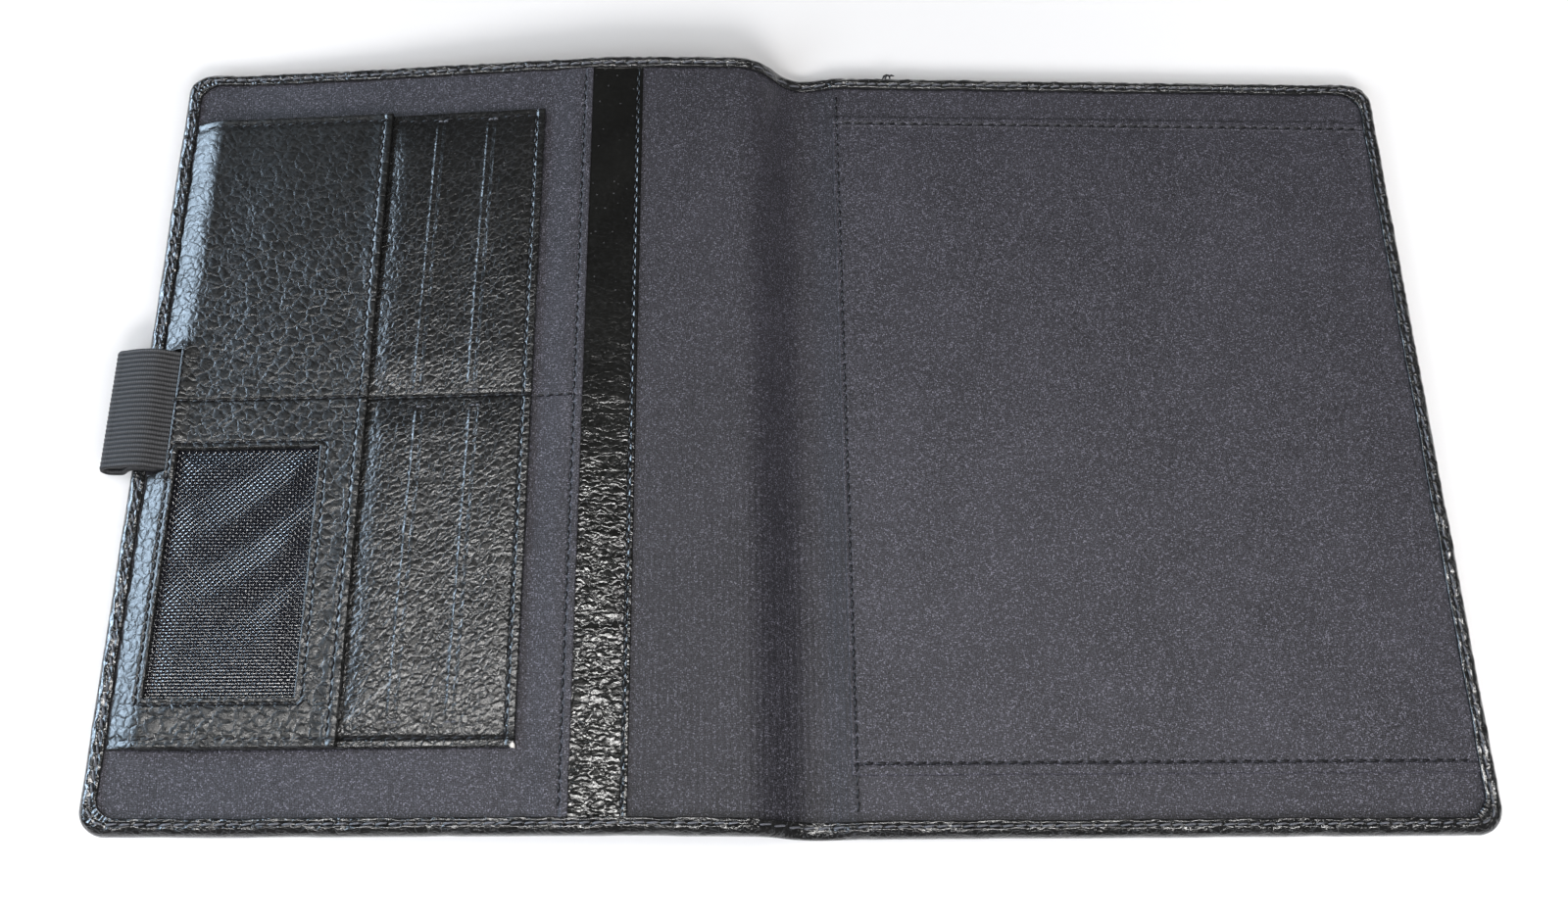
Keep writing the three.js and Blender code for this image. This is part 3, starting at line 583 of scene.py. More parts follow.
def elastic_web():
    """Ribbed elastic: fine cross threads over the modelled ribs, with painted shade in the grooves between
    them.
    """
    material, net, shader = new_material("ribbed_elastic")
    place = net.millimetres()
    parts = net.add("ShaderNodeSeparateXYZ", {0: place}).outputs
    rib = net.math("ABSOLUTE", wave(net, parts[1], 2.754))
    cross = net.math("ADD", 1.4, net.times(wave(net, parts[0], 0.62), 0.6))
    both = net.math("SUBTRACT", net.times(rib, cross), 1.0)
    fuzz = net.noise(place, 4.0, 3.0, 0.7)
    # Dark in the grooves between the ribs and light on their crests: painted shade, over the cross threads
    dark, light = (0.004, 0.004, 0.004, 1.0), (0.085, 0.085, 0.089, 1.0)
    share = net.math("ADD", net.spread(both, -1.0, 1.0, 0.0, 0.85), net.spread(fuzz, 0.4, 0.7, 0.0, 0.3))
    net.set_inputs(shader, Base_Color=net.mix(share, dark, light), Roughness=0.55, Specular_IOR_Level=0.25)
    net.relief(shader, net.math("ADD", both, net.times(fuzz, 0.8)), 0.5, 0.00012)
    return material


def plain_board():
    """Raw grey board with short fibres."""
    material, net, shader = new_material("grey_board")
    fibres = net.noise(net.millimetres(), 1.2, 4.0, 0.7)
    colour = net.mix(fibres, (0.22, 0.19, 0.15, 1.0), (0.34, 0.30, 0.25, 1.0))
    net.set_inputs(shader, Base_Color=colour, Roughness=0.9)
    return material


COVER_LEATHER = leather(
    "cover_leather",
    tone=(0.006, 0.006, 0.006),
    grain=(0.70, 0.22, 0.7, 0.4),
    rough=0.15,
    relief=0.16,
    crease=0.2,
    coat=0.55,
)
ID_LEATHER = leather(
    "pebbled_leather",
    tone=(0.006, 0.006, 0.0056),
    grain=(0.37, 0.08, 0.75, 0.5),
    rough=0.29,
    relief=0.175,
    crease=0.22,
    calm=(104.0, 40.0, 0.3),
)
CARD_LEATHER = leather(
    "crinkled_leather",
    tone=(0.006, 0.006, 0.0058),
    grain=(0.58, 0.08, 0.6, -0.7),
    rough=0.24,
    relief=0.125,
    crease=0.25,
    calm=(104.0, 50.0, 0.4),
    wear=[(CARD_RIGHT - 0.4, PANEL_NEAR + 0.9, 1.0)],
    scratch=[((-104.5, -75.5), (-118.5, -88.0), 0.3)],
)
FACING_LEATHER = leather(
    "glossy_facing_leather",
    tone=(0.005, 0.005, 0.0045),
    grain=(0.60, 0.05, 0.45, 0.12),
    rough=0.16,
    relief=0.13,
    crease=0.1,
    calm=(80.0, -60.0, 0.05),
)
LINING = cloth("lining_twill", (0.0238, 0.0232, 0.0290))
# A darker copy of the lining twill, with upright ribs, for the front cover and the spine: the darker tone is
# painted shade
SHADED_SPINE_LINING = cloth("spine_twill", (0.0205, 0.0200, 0.0250), 0.3)
SEWING_THREAD = thread("sewing_thread", (0.0055, 0.0055, 0.0068), 0.36, 0.4)
# A lighter copy of the sewing thread, a painted highlight, for the stitches that glisten on the rims, the
# spine and the slit tacks
GLINT_PAINTED_THREAD = thread("glint_painted_thread", (0.075, 0.078, 0.09), 0.3)
NETTING = thread("window_netting", (0.005, 0.0055, 0.0085), 0.13, 1.0)
ELASTIC = elastic_web()
BOARD = plain_board()


# Leather covers
# Inset from the edge and level of the turned edge's surface, from the rim's inner lip to the underside
SECTION = [
    (4.4, 4.02), (4.4, 4.72), (4.3, 4.88), (4.05, 4.97), (3.6, 4.99), (3.3, 4.92), (2.9, 4.62), (2.5, 4.90),
    (2.3, 4.97), (1.8, 4.94), (1.3, 4.80), (0.85, 4.52), (0.45, 4.08), (0.15, 3.5), (0.0, 2.7), (0.02, 1.8),
    (0.2, 1.1), (0.55, 0.55), (1.05, 0.18), (1.7, 0.02), (3.0, 0.0), (6.4, 0.0)
]


def section_points(outer, inner, seed, pleat=0.0):
    """One slice through the turned edge, from an outline point to its match on the rim's inner edge."""
    x, y = outer
    dx, dy = (inner[0] - x) / RIM_WIDTH, (inner[1] - y) / RIM_WIDTH
    points = []
    for inset, level in SECTION:
        ragged = 0.16 * float(value_noise(x + y * 0.37, y - x * 0.21, 9, seed)) * (1 - inset / 9)
        puff = 0.0
        if level > 4:
            puff = 0.07 * float(value_noise(x * 1.3 + inset, y * 1.3, 5, seed + 1))
            wrinkle = 0.25 * float(value_noise(x + dx * inset * 2, y + dy * inset * 2, 1.6, seed + 3))
            puff += wrinkle + pleat * inset
        raw = 0.22 * float(value_noise(x, y, 6, seed + 2)) if inset > 4.0 and level > 1 else 0.0
        at = inset + max(ragged, -inset * 0.5) + raw
        px = x + dx * at
        points.append((px, y + dy * at, (level + puff) * float(skin_scale(px))))
    return points


def swept(rows):
    """Quads between neighbouring rows of points."""
    width = len(rows[0])
    faces = []
    for i in range(len(rows) - 1):
        for j in range(width - 1):
            a, b = i * width + j, (i + 1) * width + j
            faces.append((a, b, b + 1, a + 1))
    return faces


def along(points, count):
    """Evenly spaced points along a bent line."""
    line = np.array(points, float)
    steps = np.concatenate([[0], np.cumsum(np.hypot(*np.diff(line, axis=0).T))])
    at = np.linspace(0, steps[-1], count)
    return np.stack([np.interp(at, steps, line[:, 0]), np.interp(at, steps, line[:, 1])], 1)


def corner_line(side, inset, radius, reach, upper):
    """One rounded corner of the outline at an inset, with straight ends up to the reach from the edges."""
    ex, ey = EDGE - inset, HALF - inset
    turn = [math.pi / 2 * k / 16 for k in range(17)]
    line = [(EDGE - reach, -ey)]
    line += [(ex - radius + radius * math.sin(a), -ey + radius - radius * math.cos(a)) for a in turn]
    line += [(ex, -(HALF - reach))]
    if upper:
        line = [(x, -y) for x, y in reversed(line)]
    return [(side * x, y) for x, y in line]


def cover_path(side, start):
    """Outline and inner-edge points of one cover, from fold to fold, with the lift of its corner pleats."""
    reach = RIM_WIDTH + INNER_CORNER
    pairs = []
    for x in np.linspace(start, side * (EDGE - reach), 230)[:-1]:
        pairs.append(((x, -HALF), (x, -HALF + RIM_WIDTH), 0.0))
    count = 45
    for upper in (False, True):
        outer = along(corner_line(side, 0, CORNER, reach, upper), count)
        inner = along(corner_line(side, RIM_WIDTH, INNER_CORNER, reach, upper), count)
        for k in range(count):
            pleat = 0.05 * math.sin(k * 1.26 + math.sin(k * 0.8)) * math.sin(math.pi * k / (count - 1))
            pairs.append((outer[k], inner[k], pleat))
        if not upper:
            for y in np.linspace(-HALF + reach, HALF - reach, 300)[1:-1]:
                pairs.append(((side * EDGE, y), (side * (EDGE - RIM_WIDTH), y), 0.0))
    for x in np.linspace(side * (EDGE - reach), start, 230)[1:]:
        pairs.append(((x, HALF), (x, HALF - RIM_WIDTH), 0.0))
    return pairs


def cover_skin(name, side, start, body, node, seed):
    """The leather of one cover: its turned edge, and the flat underside within."""
    rows = [section_points(outer, inner, seed, pleat) for outer, inner, pleat in cover_path(side, start)]
    faces = swept(rows)
    flat = np.array(rows).reshape(-1, 3)
    xs = np.linspace(start, side * (EDGE - 5.2), 48)
    ys = np.linspace(-HALF + 5.2, HALF - 5.2, 60)
    X, Y = np.meshgrid(xs, ys, indexing="ij")
    Z = np.full_like(X, 0.03)
    base = len(flat)
    under = np.stack([X, Y, Z], -1).reshape(-1, 3)
    ny = len(ys)
    for i in range(len(xs) - 1):
        for j in range(ny - 1):
            a, b = base + i * ny + j, base + (i + 1) * ny + j
            faces.append((a, a + 1, b + 1, b) if side > 0 else (a, b, b + 1, a + 1))
    obj = new_piece(name, lifted(np.concatenate([flat, under])), faces, COVER_LEATHER)
    if side < 0:
        obj.data.flip_normals()
    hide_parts(node)
    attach(obj, body)
    return obj


def fold_skin(name, start, end, seed):
    """The cover leather where it crosses a fold, rim to rim."""
    rows = []
    for x in np.linspace(start, end, 46):
        near = section_points((x, -HALF), (x, -HALF + RIM_WIDTH), seed)
        far = section_points((x, HALF), (x, HALF - RIM_WIDTH), seed)
        middle = [(x, y, 0.0) for y in np.linspace(-HALF + 7.0, HALF - 7.0, 70)]
        wrinkled = []
        for px, py, pz in near + middle + far[::-1]:
            crease = 0.10 * float(value_noise(px * 2.2, py * 0.4, 3.2, seed + 4)) * (pz > 1.5)
            wrinkled.append((px, py, pz + crease))
        rows.append(wrinkled)
    faces = [f[::-1] for f in swept(rows)]
    obj = new_piece(name, lifted(rows), faces, COVER_LEATHER)
    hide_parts("spine_leather")
    return obj


def make_covers():
    cover_skin("front_cover_leather", -1, SPLIT_FRONT, "front_cover", "front_leather", 21)
    cover_skin("back_cover_leather", 1, SPLIT_BACK, "back_cover", "back_leather", 21)
    front = fold_skin("front_fold_leather", SPLIT_FRONT, SPLIT_SPINE, 21)
    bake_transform(front)
    back = fold_skin("back_fold_leather", SPLIT_SPINE, SPLIT_BACK, 21)
    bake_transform(back)


# Linings and pockets
def cloth_piece(name, xs, ys, top, material):
    return sheet_piece(name, xs, ys, top, LINING_THICK, material)


def make_linings():
    ys = stations(-LINING_DEPTH, LINING_DEPTH, 3.0, (False, False))
    xs = stations(-LINING_REACH, SPLIT_FRONT, 3.0, (False, False))
    front = cloth_piece("front_lining_cloth", xs, ys, lining_top, SHADED_SPINE_LINING)
    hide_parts("front_lining")
    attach(front, "front_cover")
    xs = np.linspace(SPLIT_FRONT, SPLIT_SPINE, 37)
    fold_a = cloth_piece("front_fold_lining", xs, ys, lining_top, SHADED_SPINE_LINING)
    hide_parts("spine_lining")
    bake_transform(fold_a)
    xs = np.linspace(SPLIT_SPINE, SPLIT_BACK, 35)
    fold_b = cloth_piece("back_fold_lining", xs, ys, lining_top, SHADED_SPINE_LINING)
    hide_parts("spine_lining")
    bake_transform(fold_b)
    xs = stations(SPLIT_BACK, LINING_REACH, 3.0, (False, False))
    back = cloth_piece("back_lining_cloth", xs, ys, lining_top, LINING)
    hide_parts("back_lining")
    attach(back, "back_cover")


def make_band():
    seams = [BAND_NEAR_SEAM_Y, BAND_FAR_SEAM_Y]
    hems = [-98.6, 99.9]
    xs = stations(BAND_LEFT, LINING_REACH, 2.6, (True, False), dense=[GUTTER_SEAM_X])
    ys = stations(BAND_NEAR, BAND_FAR, 2.6, (True, True), dense=seams + hems)
    band = cloth_piece("notepad_band_cloth", xs, ys, band_top, LINING)
    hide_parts("notepad_pocket")
    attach(band, "back_cover")


def make_pocket_panel():
    step_x = -67.0
    xs = stations(-LINING_REACH, PAGE_RIGHT, 2.6, (False, True), dense=[PAGE_SEAM_X, step_x])
    ys = stations(-LINING_DEPTH, LINING_DEPTH, 2.6, (False, False), dense=[MIDDLE_SEAM_Y])
    panel = cloth_piece("page_pocket_cloth", xs, ys, pocket_panel_top, LINING)
    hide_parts("pocket_panel")
    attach(panel, "front_cover")
    name, slot = "pocket_facing_leather", "panel_leather"
    xs = stations(PAGE_RIGHT - 2.0, FACING_RIGHT, 0.7, (False, True), dense=[FACING_SEAM_X])
    ys = stations(-LINING_DEPTH, LINING_DEPTH, 0.8, (False, False))
    facing = sheet_piece(name, xs, ys, facing_top, FACING_THICK, FACING_LEATHER)
    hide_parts("pocket_facing")
    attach(facing, "front_cover")


def make_card_panel():
    name, slot = "card_pocket_leather", "panel_leather"
    slit_lines = [at + o for at, _, _ in SLITS[:2] for o in (-1.6, -1.0, -0.4, 0.0, 0.4, 1.0, 1.6)]
    xs = stations(CARD_LEFT, CARD_RIGHT, 1.1, (False, True), dense=[CARD_SEAM_X] + slit_lines)
    ys = stations(PANEL_NEAR, PANEL_FAR, 1.25, (True, True), dense=[MIDDLE_SEAM_Y, NEAR_SEAM_Y])
    panel = sheet_piece(name, xs, ys, card_top, PANEL_THICK, CARD_LEATHER)
    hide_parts("card_panel")
    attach(panel, "front_cover")


def make_id_panel():
    name, slot = "id_pocket_leather", "panel_leather"
    left, right, near, far = WINDOW
    out = WINDOW_SEAM
    xs = stations(ID_LEFT, ID_RIGHT, 1.0, (True, True), dense=[ID_SEAM_X, left - out, right + out])
    ys = stations(PANEL_NEAR, PANEL_FAR, 1.1, (True, True), dense=[MIDDLE_SEAM_Y, near - out, far + out])
    xs = snap(xs, [left, right, NOTCH[1]])
    ys = snap(ys, [near, far, NOTCH[2], NOTCH[3]])
    panel = sheet_piece(name, xs, ys, id_top, PANEL_THICK, ID_LEATHER, [WINDOW, NOTCH])
    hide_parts("id_panel")
    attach(panel, "front_cover")


def snap(lines, wanted):
    """Adds the wanted lines, with a few close outside them, and drops any line nearly on them."""
    extra = [w + o for w in wanted for o in (-0.45, -0.3, -0.15, 0, 0.15, 0.3, 0.45)]
    kept = [v for v in lines if min(abs(v - e) for e in extra) > 0.07]
    return np.array(sorted(kept + extra))


def tube(path, radius, sides, faces, points):
    """Adds a thin tube along flat-layout points to the lists."""
    base = len(points)
    path = np.array(path, float)
    ahead = np.gradient(path, axis=0)
    ahead /= np.linalg.norm(ahead, axis=1)[:, None]
    up = np.array([0.0, 0.0, 1.0])
    for k, (p, t) in enumerate(zip(path, ahead)):
        side = np.cross(t, up)
        side /= np.linalg.norm(side)
        lift = np.cross(side, t)
        r = radius if np.isscalar(radius) else radius[k]
        for s in range(sides):
            a = 2 * math.pi * s / sides
            points.append(p + side * math.cos(a) * r + lift * math.sin(a) * r)
    n = len(path)
    for k in range(n - 1):
        for s in range(sides):
            a, b = base + k * sides + s, base + k * sides + (s + 1) % sides
            faces.append((a, a + sides, b + sides, b))
    faces.append(tuple(base + s for s in range(sides)))
    faces.append(tuple(base + (n - 1) * sides + s for s in reversed(range(sides))))


def net_level(x, y):
    """Height of the netting, which lies in shallow slanting waves and is held down at the window's edges."""
    left, right, near, far = WINDOW
    inside = np.minimum(np.minimum(x - left, right - x), np.minimum(y - near, far - y))
    sway = 0.45 * np.sin((y - 0.5 * x) / 3.4 + 0.9 * np.sin(x / 9)) * smooth(near, near + 42, y)
    slack = 0.45 + sway + 0.08 * value_noise(x, y, 5, 31)
    return NET_LEVEL + slack * smooth(0, 7, inside)


def flat_thread(path, faces, points):
    """Adds a flat thread along flat-layout points: a level crown between two slanted sides."""
    path = np.array(path, float)
    ahead = np.gradient(path, axis=0)
    side = np.stack([ahead[:, 1], -ahead[:, 0]], 1)
    side /= np.linalg.norm(side, axis=1)[:, None]
    profile = ((-0.27, -0.03), (-0.15, 0.06), (0.15, 0.06), (0.27, -0.03))
    base = len(points)
    for (x, y, z), (sx, sy) in zip(path, side):
        for across, lift in profile:
            points.append((x + sx * across, y + sy * across, z + lift))
    for k in range(len(path) - 1):
        for s in range(4):
            a, b = base + 4 * k + s, base + 4 * k + (s + 1) % 4
            faces.append((a, a + 4, b + 4, b))
    last = base + 4 * (len(path) - 1)
    faces.append((base, base + 1, base + 2, base + 3))
    faces.append((last + 3, last + 2, last + 1, last))


def make_netting():
    """Woven window mesh: flat crossing threads that pass over and under each other."""
    left, right, near, far = WINDOW
    pitch, lift, tuck = 0.88, 0.05, 1.4
    xs = np.arange(left - tuck, right + tuck + 0.1, pitch)
    ys = np.arange(near - tuck, far + tuck + 0.1, pitch)
    points, faces = [], []
    for along_x, lines, crossed in ((False, xs, ys), (True, ys, xs)):
        at = np.repeat(crossed, 2) + np.tile([-0.22 * pitch, 0.22 * pitch], len(crossed))
        for k, line in enumerate(lines):
            over = np.repeat((-1.0) ** (np.arange(len(crossed)) + k), 2) * (lift if along_x else -lift)
            x, y = (at, np.full_like(at, line)) if along_x else (np.full_like(at, line), at)
            flat_thread(np.stack([x, y, net_level(x, y) + over], 1), faces, points)
    mesh = new_piece("window_netting", lifted(points), faces, NETTING)
    outward(mesh)
    mesh.data.polygons.foreach_set("use_smooth", [False] * len(mesh.data.polygons))
    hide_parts("window_mesh")
    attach(mesh, "front_cover")


def make_pen_loop():
    """Ribbed elastic, folded round the left edge: one layer under the panel, out, round and back."""
    band, play, reach, belly_z, seam_x = 1.1, 0.15, 8.0, 1.8, -172.4
    lower, seat = RIM_TOP + 0.12 + band / 2, 4.17 + band / 2
    upper = lower + band + play
    belly = belly_z + band / 2
    bend = (upper - belly) / 2
    bend_x = -EDGE - reach + band / 2 + bend
    drop_x = -EDGE - band / 2 - 0.65
    leave, rest_x = (-EDGE + 1.6, lower), (-EDGE - 3.4, belly)
    start = np.linspace(seam_x, leave[0], 14)
    run = [(x, seat + (lower - seat) * float(smooth(-176.5, -179.6, x))) for x in start]
    for t in np.linspace(0.06, 1, 16):
        a, b, c, d = (1 - t) ** 3, 3 * t * (1 - t) ** 2, 3 * t * t * (1 - t), t**3
        run.append((leave[0] * a + drop_x * (b + c) + rest_x[0] * d, lower * (a + b) + belly * (c + d)))
    for a in np.linspace(0, math.pi, 20):
        run.append((bend_x - bend * math.sin(a), belly + bend - bend * math.cos(a)))
    for u in np.linspace(0.05, 1, 18):
        x = bend_x + (seam_x - bend_x) * u
        fall = (lower - seat) * float(smooth(-179.6, -174.5, x))
        run.append((x, upper - fall + 1.5 * math.sin(math.pi * u)))
    line = along(run, 110)
    ahead = np.gradient(line, axis=0)
    ahead /= np.linalg.norm(ahead, axis=1)[:, None]
    normal = np.stack([ahead[:, 1], -ahead[:, 0]], 1)
    ys = np.arange(LOOP_NEAR, LOOP_FAR + 0.0001, 0.2)
    rib_height, rib_pitch = 0.30, 1.4
    at = band / 2 + rib_height * np.abs(np.sin(math.pi * ys / rib_pitch)) ** 0.7 - rib_height
    rows = []
    for side in (1, -1):
        for (x, z), (nx, nz) in zip(line[::side], normal[::side]):
            rows.append([(x + side * nx * a, y, z + side * nz * a) for a, y in zip(at, ys)])
    faces = swept(rows)
    count, width = len(rows), len(ys)
    last = (count - 1) * width
    for j in range(width - 1):
        faces.append((last + j, j, j + 1, last + j + 1))
    half = count // 2
    for i in range(half - 1):
        a, b = i * width, (count - 1 - i) * width
        faces.append((a, a + width, b - width, b))
        e, f = a + width - 1, b + width - 1
        faces.append((f, f - width, e + width, e))
    loop = new_piece("elastic_pen_loop", lifted(rows), faces, ELASTIC)
    outward(loop)
    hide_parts("pen_loop")
    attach(loop, "front_cover")


# Sewing
def stitch_row(
    name, path, height, body, pitch=PITCH, slant=0.16, radius=0.31, skip=None, material=SEWING_THREAD
):
    """A row of stitches along flat-layout points, each dipping into the surface at both ends."""
    path = np.array(path, float)
    steps = np.concatenate([[0], np.cumsum(np.hypot(*np.diff(path, axis=0).T))])
    total = steps[-1]
    count = max(1, int(total / pitch))
    rng = np.random.RandomState(abs(hash_name(name)) % 10000)
    points, faces = [], []
    for k in range(count):
        middle = (k + 0.5) * total / count
        x, y = np.interp(middle, steps, path[:, 0]), np.interp(middle, steps, path[:, 1])
        if skip and skip(x, y):
            continue
        ahead = middle + 0.3, middle - 0.3
        tx = np.interp(ahead[0], steps, path[:, 0]) - np.interp(ahead[1], steps, path[:, 0])
        ty = np.interp(ahead[0], steps, path[:, 1]) - np.interp(ahead[1], steps, path[:, 1])
        angle = math.atan2(ty, tx) + slant + rng.uniform(-0.05, 0.05)
        half = total / count * 0.40 * rng.uniform(0.93, 1.05)
        row = []
        for s in (-1.0, -0.75, 0.0, 0.75, 1.0):
            px, py = x + math.cos(angle) * half * s, y + math.sin(angle) * half * s
            row.append((px, py, float(height(px, py)) + 0.24 - 0.46 * s * s))
        tube(row, [radius * f for f in (0.5, 0.9, 1.0, 0.9, 0.5)], 6, faces, points)
    obj = new_piece(name, lifted(points), faces, material)
    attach(obj, body)
    return obj


def hash_name(name):
    """A number that stays the same for the same name."""
    return sum((k + 1) * ord(c) for k, c in enumerate(name))


def rim_height(x, y):
    """The bottom of the groove that the rim's stitches lie in."""
    return (RIM_TOP - 0.10) * float(skin_scale(x))


def loop_there(x, y):
    """Whether the pen loop covers a point of the rim."""
    return x < -176 and LOOP_NEAR - 0.6 < y < NOTCH[3]


def rim_path(side, start):
    """The line of the stitches along one cover's rim, from fold to fold."""
    path = []
    inset = STITCH_INSET
    radius = CORNER - inset
    edge, depth = EDGE - inset, HALF - inset
    path += [(x, -depth) for x in np.linspace(start, side * (edge - radius), 30)]
    path += [
        (side * (edge - radius + radius * math.sin(a)), -depth + radius - radius * math.cos(a))
        for a in np.linspace(0.2, math.pi / 2, 5)
    ]
    path += [(side * edge, y) for y in np.linspace(-depth + radius, depth - radius, 30)[1:]]
    path += [
        (side * (edge - radius + radius * math.cos(a)), depth - radius + radius * math.sin(a))
        for a in np.linspace(0.2, math.pi / 2, 5)
    ]
    path += [(x, depth) for x in np.linspace(side * (edge - radius), start, 30)[1:]]
    return path


def upright_row(name, x, near, far, height, body="front_cover"):
    """A straight row of stitches that runs from near to far."""
    stitch_row(name, [(x, near), (x, far)], height, body, slant=UPRIGHT_SLANT)


def level_row(name, left, right, y, height, body="front_cover", pitch=PITCH):
    """A straight row of stitches that runs from left to right."""
    stitch_row(name, [(left, y), (right, y)], height, body, pitch=pitch)


def make_stitching():
    inner = HALF - STITCH_INSET
    path = rim_path(-1, FRONT_FOLD - 2)
    stitch_row("front_rim_stitching", path, rim_height, "front_cover", skip=loop_there, material=GLINT_PAINTED_THREAD)
    path = rim_path(1, BACK_FOLD + 2)
    stitch_row("back_rim_stitching", path, rim_height, "back_cover", material=GLINT_PAINTED_THREAD)
    for label, y in (("near", -inner), ("far", inner)):
        row = [(FRONT_FOLD + 2.5, y), (BACK_FOLD - 0.5, y)]
        stitch_row("spine_%s_stitching" % label, row, rim_height, "spine", material=GLINT_PAINTED_THREAD)
    near, far, middle, end = NEAR_SEAM_Y, FAR_SEAM_Y, MIDDLE_SEAM_Y, SEAM_END_Y
    band_left, band_right = 15.5, 177
    upright_row("gutter_stitching", GUTTER_SEAM_X, -end, end, gutter_height, "back_cover")
    level_row("band_far_stitching", band_left, band_right, BAND_FAR_SEAM_Y, band_top, "back_cover")
    level_row("band_near_stitching", band_left, band_right, BAND_NEAR_SEAM_Y, band_top, "back_cover")
    upright_row("page_pocket_stitching", PAGE_SEAM_X, -end, end, pocket_panel_top)
    upright_row("facing_stitching", FACING_SEAM_X, -end, end, facing_top)
    level_row("card_far_stitching", ID_RIGHT + 1, CARD_RIGHT - 2, far, card_top)
    level_row("card_near_stitching", ID_RIGHT + 1, CARD_RIGHT - 2, near, card_top)
    upright_row("card_edge_stitching", CARD_SEAM_X, near, far, card_top)
    level_row("id_far_stitching", ID_LEFT + 3, ID_RIGHT - 0.5, far, id_top)
    level_row("id_near_stitching", ID_LEFT + 3, ID_RIGHT - 0.5, near, id_top)
    upright_row("id_edge_stitching", ID_SEAM_X, near + 1, far - 1, id_top)
    level_row("id_middle_stitching", ID_LEFT + 3, ID_RIGHT, middle, id_top)
    level_row("card_middle_stitching", ID_RIGHT + 1, CARD_RIGHT, middle, card_top)
    level_row("pocket_middle_stitching", CARD_RIGHT + 1, -62.5, middle, pocket_panel_top, pitch=2.6)
    left, right, low, high = WINDOW
    left, right, low, high = left - WINDOW_SEAM, right + WINDOW_SEAM, low - WINDOW_SEAM, high + WINDOW_SEAM
    path = [(left, high), (right, high), (right, low), (left, low), (left, high)]
    style = {"pitch": 2.9, "slant": UPRIGHT_SLANT}
    stitch_row("window_stitching", path, id_top, "front_cover", **style)
    path = [(left, high + 1), (left, NOTCH[3])]
    stitch_row("loop_seam_stitching", path, id_top, "front_cover", **style)
    style = {"pitch": 1.5, "radius": 0.3, "material": GLINT_PAINTED_THREAD}
    for k, (at, near_end, far_end) in enumerate(SLITS):
        lean = SLIT_LEAN * (far_end - near_end) / 2
        for label, y, x in (("far", far_end + 0.4, at + lean), ("near", near_end - 0.4, at - lean)):
            name = "slit_tack_%s_%d" % (label, k + 1)
            stitch_row(name, [(x - 1.5, y), (x + 1.5, y)], card_top, "front_cover", **style)


def make_knot():
    """The knotted end of the sewing thread, which stands up at the far edge of the back cover."""
    turns = [
        [(28.9, 116.6, 4.7), (29.4, 117.5, 5.1), (30.2, 118.2, 4.7), (31.0, 117.6, 5.2), (31.3, 116.7, 4.8)],
        [(29.6, 116.4, 4.9), (30.0, 117.3, 5.5), (30.6, 117.9, 5.0), (30.1, 118.3, 4.4)],
        [(30.9, 117.2, 5.2), (31.7, 118.0, 4.9), (32.6, 118.3, 4.2)],
    ]
    points, faces = [], []
    for turn in turns:
        tube(turn, [0.2] + [0.34] * (len(turn) - 2) + [0.18], 6, faces, points)
    knot = new_piece("thread_knot", lifted(points), faces, SEWING_THREAD)
    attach(knot, "back_cover")


def gutter_height(x, y):
    """The band's surface, and beyond its hems the lining's."""
    return float(band_top(x, y)) if BAND_NEAR < y < BAND_FAR else float(lining_top(x, y))


# Materials of the hidden solids
def finish_hidden_solids():
    finishes = {
        "back_board": BOARD,
        "front_board": BOARD,
        "upper_outer_slot_lining": LINING,
        "upper_inner_slot_lining": LINING,
        "lower_outer_slot_lining": LINING,
        "lower_inner_slot_lining": LINING,
    }
    for node, material in finishes.items():
        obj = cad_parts[node]
        obj = bpy.data.objects[obj] if isinstance(obj, str) else obj
        for slot in obj.material_slots:
            slot.material = material
        if not obj.material_slots:
            obj.data.materials.append(material)


# Setting, light and camera
def make_setting():
    """A white table that brightens with distance, so that its far edge isn't seen."""
    material, net, shader = new_material("white_table")
    place = net.add("ShaderNodeTexCoord").outputs["Object"]
    away = net.add("ShaderNodeVectorMath", {0: place}, operation="LENGTH").outputs["Value"]
    seen = net.add("ShaderNodeLightPath").outputs["Is Camera Ray"]
    glow = net.times(seen, net.spread(away, 0.12, 0.9))
    net.set_inputs(shader, Base_Color=(0.88, 0.88, 0.885, 1.0), Roughness=0.9, Specular_IOR_Level=0.1)
    net.set_inputs(shader, Emission_Color=(1.0, 1.0, 1.0, 1.0), Emission_Strength=glow)
    size, level = 3.0, -0.0002
    corners = [(-size, -size), (size, -size), (size, size), (-size, size)]
    mesh = bpy.data.meshes.new("table_top")
    mesh.from_pydata([(x, y, level) for x, y in corners], [], [(0, 1, 2, 3)])
    table = bpy.data.objects.new("table_top", mesh)
    mesh.materials.append(material)
    bpy.context.scene.collection.objects.link(table)


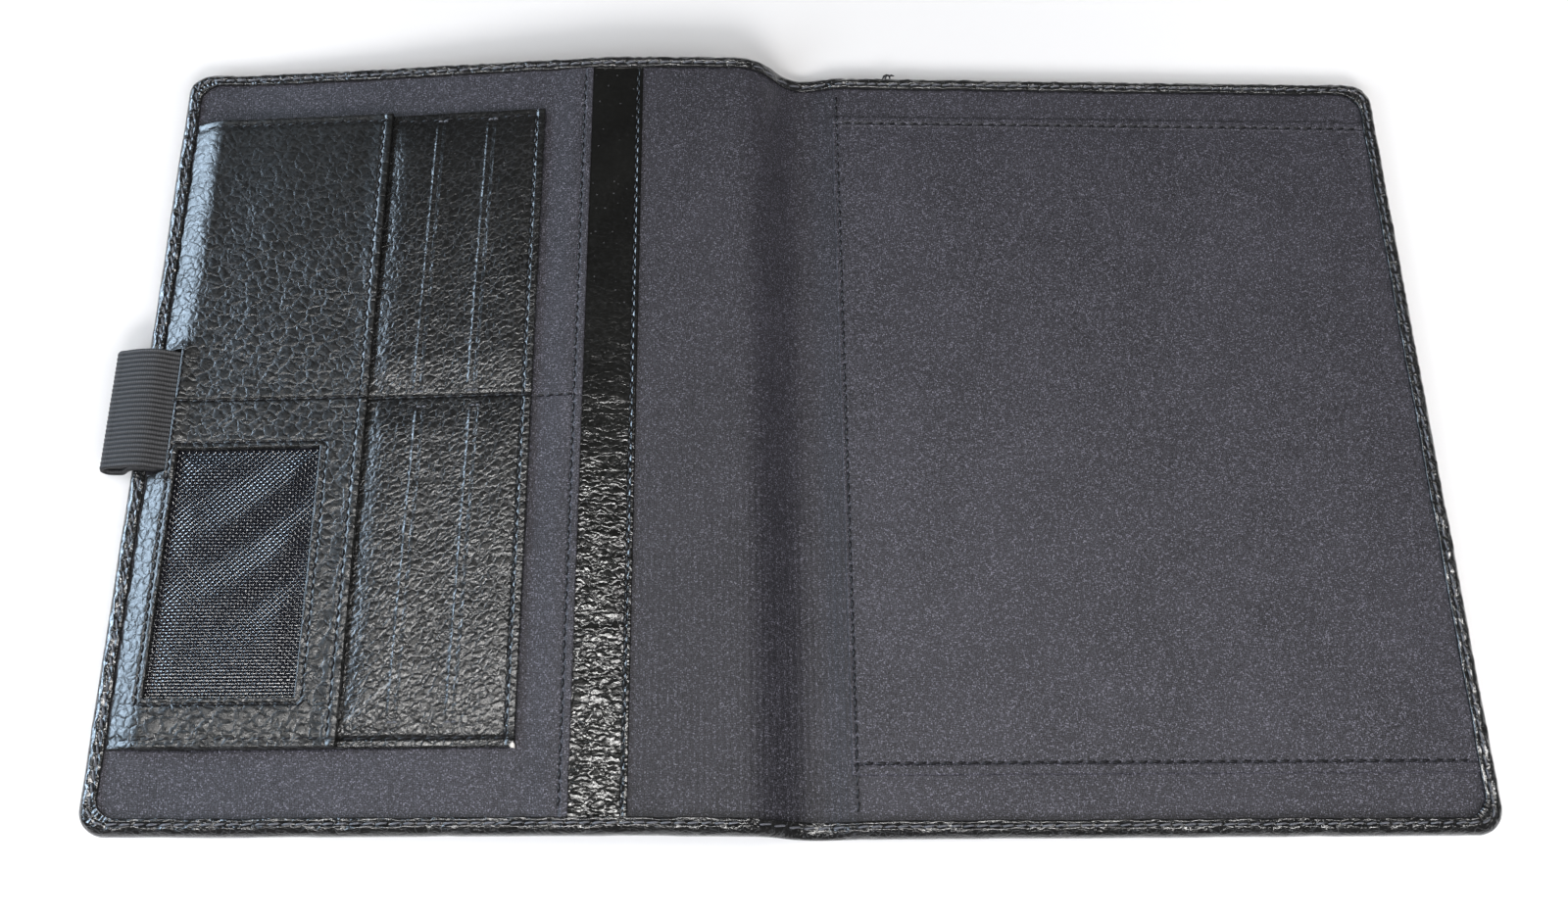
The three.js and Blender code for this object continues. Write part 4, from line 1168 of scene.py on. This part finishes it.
# Name, place, target, width and depth, power, colour, and whether it adds only shade or only shine
LIGHTS = [
    ("window_left", (-1.2, 0.42, 0.60), (-0.15, 0.0, 0.0), (0.9, 0.45), 28.0, (0.62, 0.80, 1.0), "shine"),
    ("overhead", (-0.15, 0.08, 1.30), (-0.05, -0.05, 0.0), (0.75, 0.3), 4.8, (1.0, 0.99, 0.99), "shade"),
    ("strip", (0.0, 0.065, 1.15), (0.0, -0.05, 0.0), (1.3, 0.07), 13.0, (1.0, 0.985, 0.97), "shine"),
    ("soft_left", (-0.9, -0.7, 0.6), (-0.1, -0.05, 0.0), (0.6, 0.6), 10.0, (0.86, 0.92, 1.0), "shade"),
    ("soft_right", (1.1, -0.6, 0.8), (0.0, 0.0, 0.0), (0.9, 0.9), 9.8, (1.0, 0.99, 0.98), "shade"),
    ("front_fill", (0.05, -1.15, 0.70), (0.0, -0.05, 0.0), (0.8, 0.3), 14.0, (1.0, 0.98, 0.98), "shade"),
]


def area_light(name, place, target, size, power, colour, seen):
    """A rectangular light."""
    data = bpy.data.lights.new(name, "AREA")
    data.shape = "RECTANGLE"
    data.size, data.size_y = size
    data.energy = power
    data.color = colour
    obj = bpy.data.objects.new(name, data)
    obj.location = place
    obj.visible_diffuse = seen != "shine"
    obj.visible_glossy = seen != "shade"
    obj.rotation_euler = (Vector(target) - Vector(place)).to_track_quat("-Z", "Y").to_euler()
    bpy.context.scene.collection.objects.link(obj)


def make_lights():
    for light in LIGHTS:
        area_light(*light)
    world = bpy.data.worlds.new("studio")
    world.use_nodes = True
    net = Net(world.node_tree)
    world.node_tree.nodes.clear()
    seen = net.add("ShaderNodeLightPath").outputs["Is Camera Ray"]
    strength = net.spread(seen, 0.0, 1.0, 0.10, 1.0)
    back = net.add("ShaderNodeBackground", {"Color": (1.0, 1.0, 1.0, 1.0), "Strength": strength})
    world.node_tree.links.new(back.outputs[0], net.add("ShaderNodeOutputWorld").inputs[0])
    bpy.context.scene.world = world


def make_camera():
    """The photo's camera. The focal length and the picture's width are in pixels."""
    focal, sensor, wide = 1661.0, 36.0, 1600.0
    yaw, pitch, roll = (math.radians(a) for a in (6.46, 66.82, 6.11))
    ahead = Vector((math.sin(yaw) * math.cos(pitch), math.cos(yaw) * math.cos(pitch), -math.sin(pitch)))
    level = Vector((math.cos(yaw), -math.sin(yaw), 0.0))
    up = level.cross(ahead)
    right = level * math.cos(roll) + up * math.sin(roll)
    top = -level * math.sin(roll) + up * math.cos(roll)
    data = bpy.data.cameras.new("camera")
    data.sensor_width = sensor
    data.lens = focal * sensor / wide
    data.clip_start = 0.01
    camera = bpy.data.objects.new("camera", data)
    place = Vector((-0.0239 + SHIFT_X / 1000, -0.1909, 0.4238))
    turn = Matrix((right, top, -ahead)).transposed().to_4x4()
    camera.matrix_world = Matrix.Translation(place) @ turn
    scene = bpy.context.scene
    scene.collection.objects.link(camera)
    scene.camera = camera
    scene.view_settings.view_transform = "Standard"


make_camera()
make_setting()
make_lights()
make_covers()
make_linings()
make_band()
make_pocket_panel()
make_card_panel()
make_id_panel()
make_netting()
make_pen_loop()
make_stitching()
make_knot()
finish_hidden_solids()
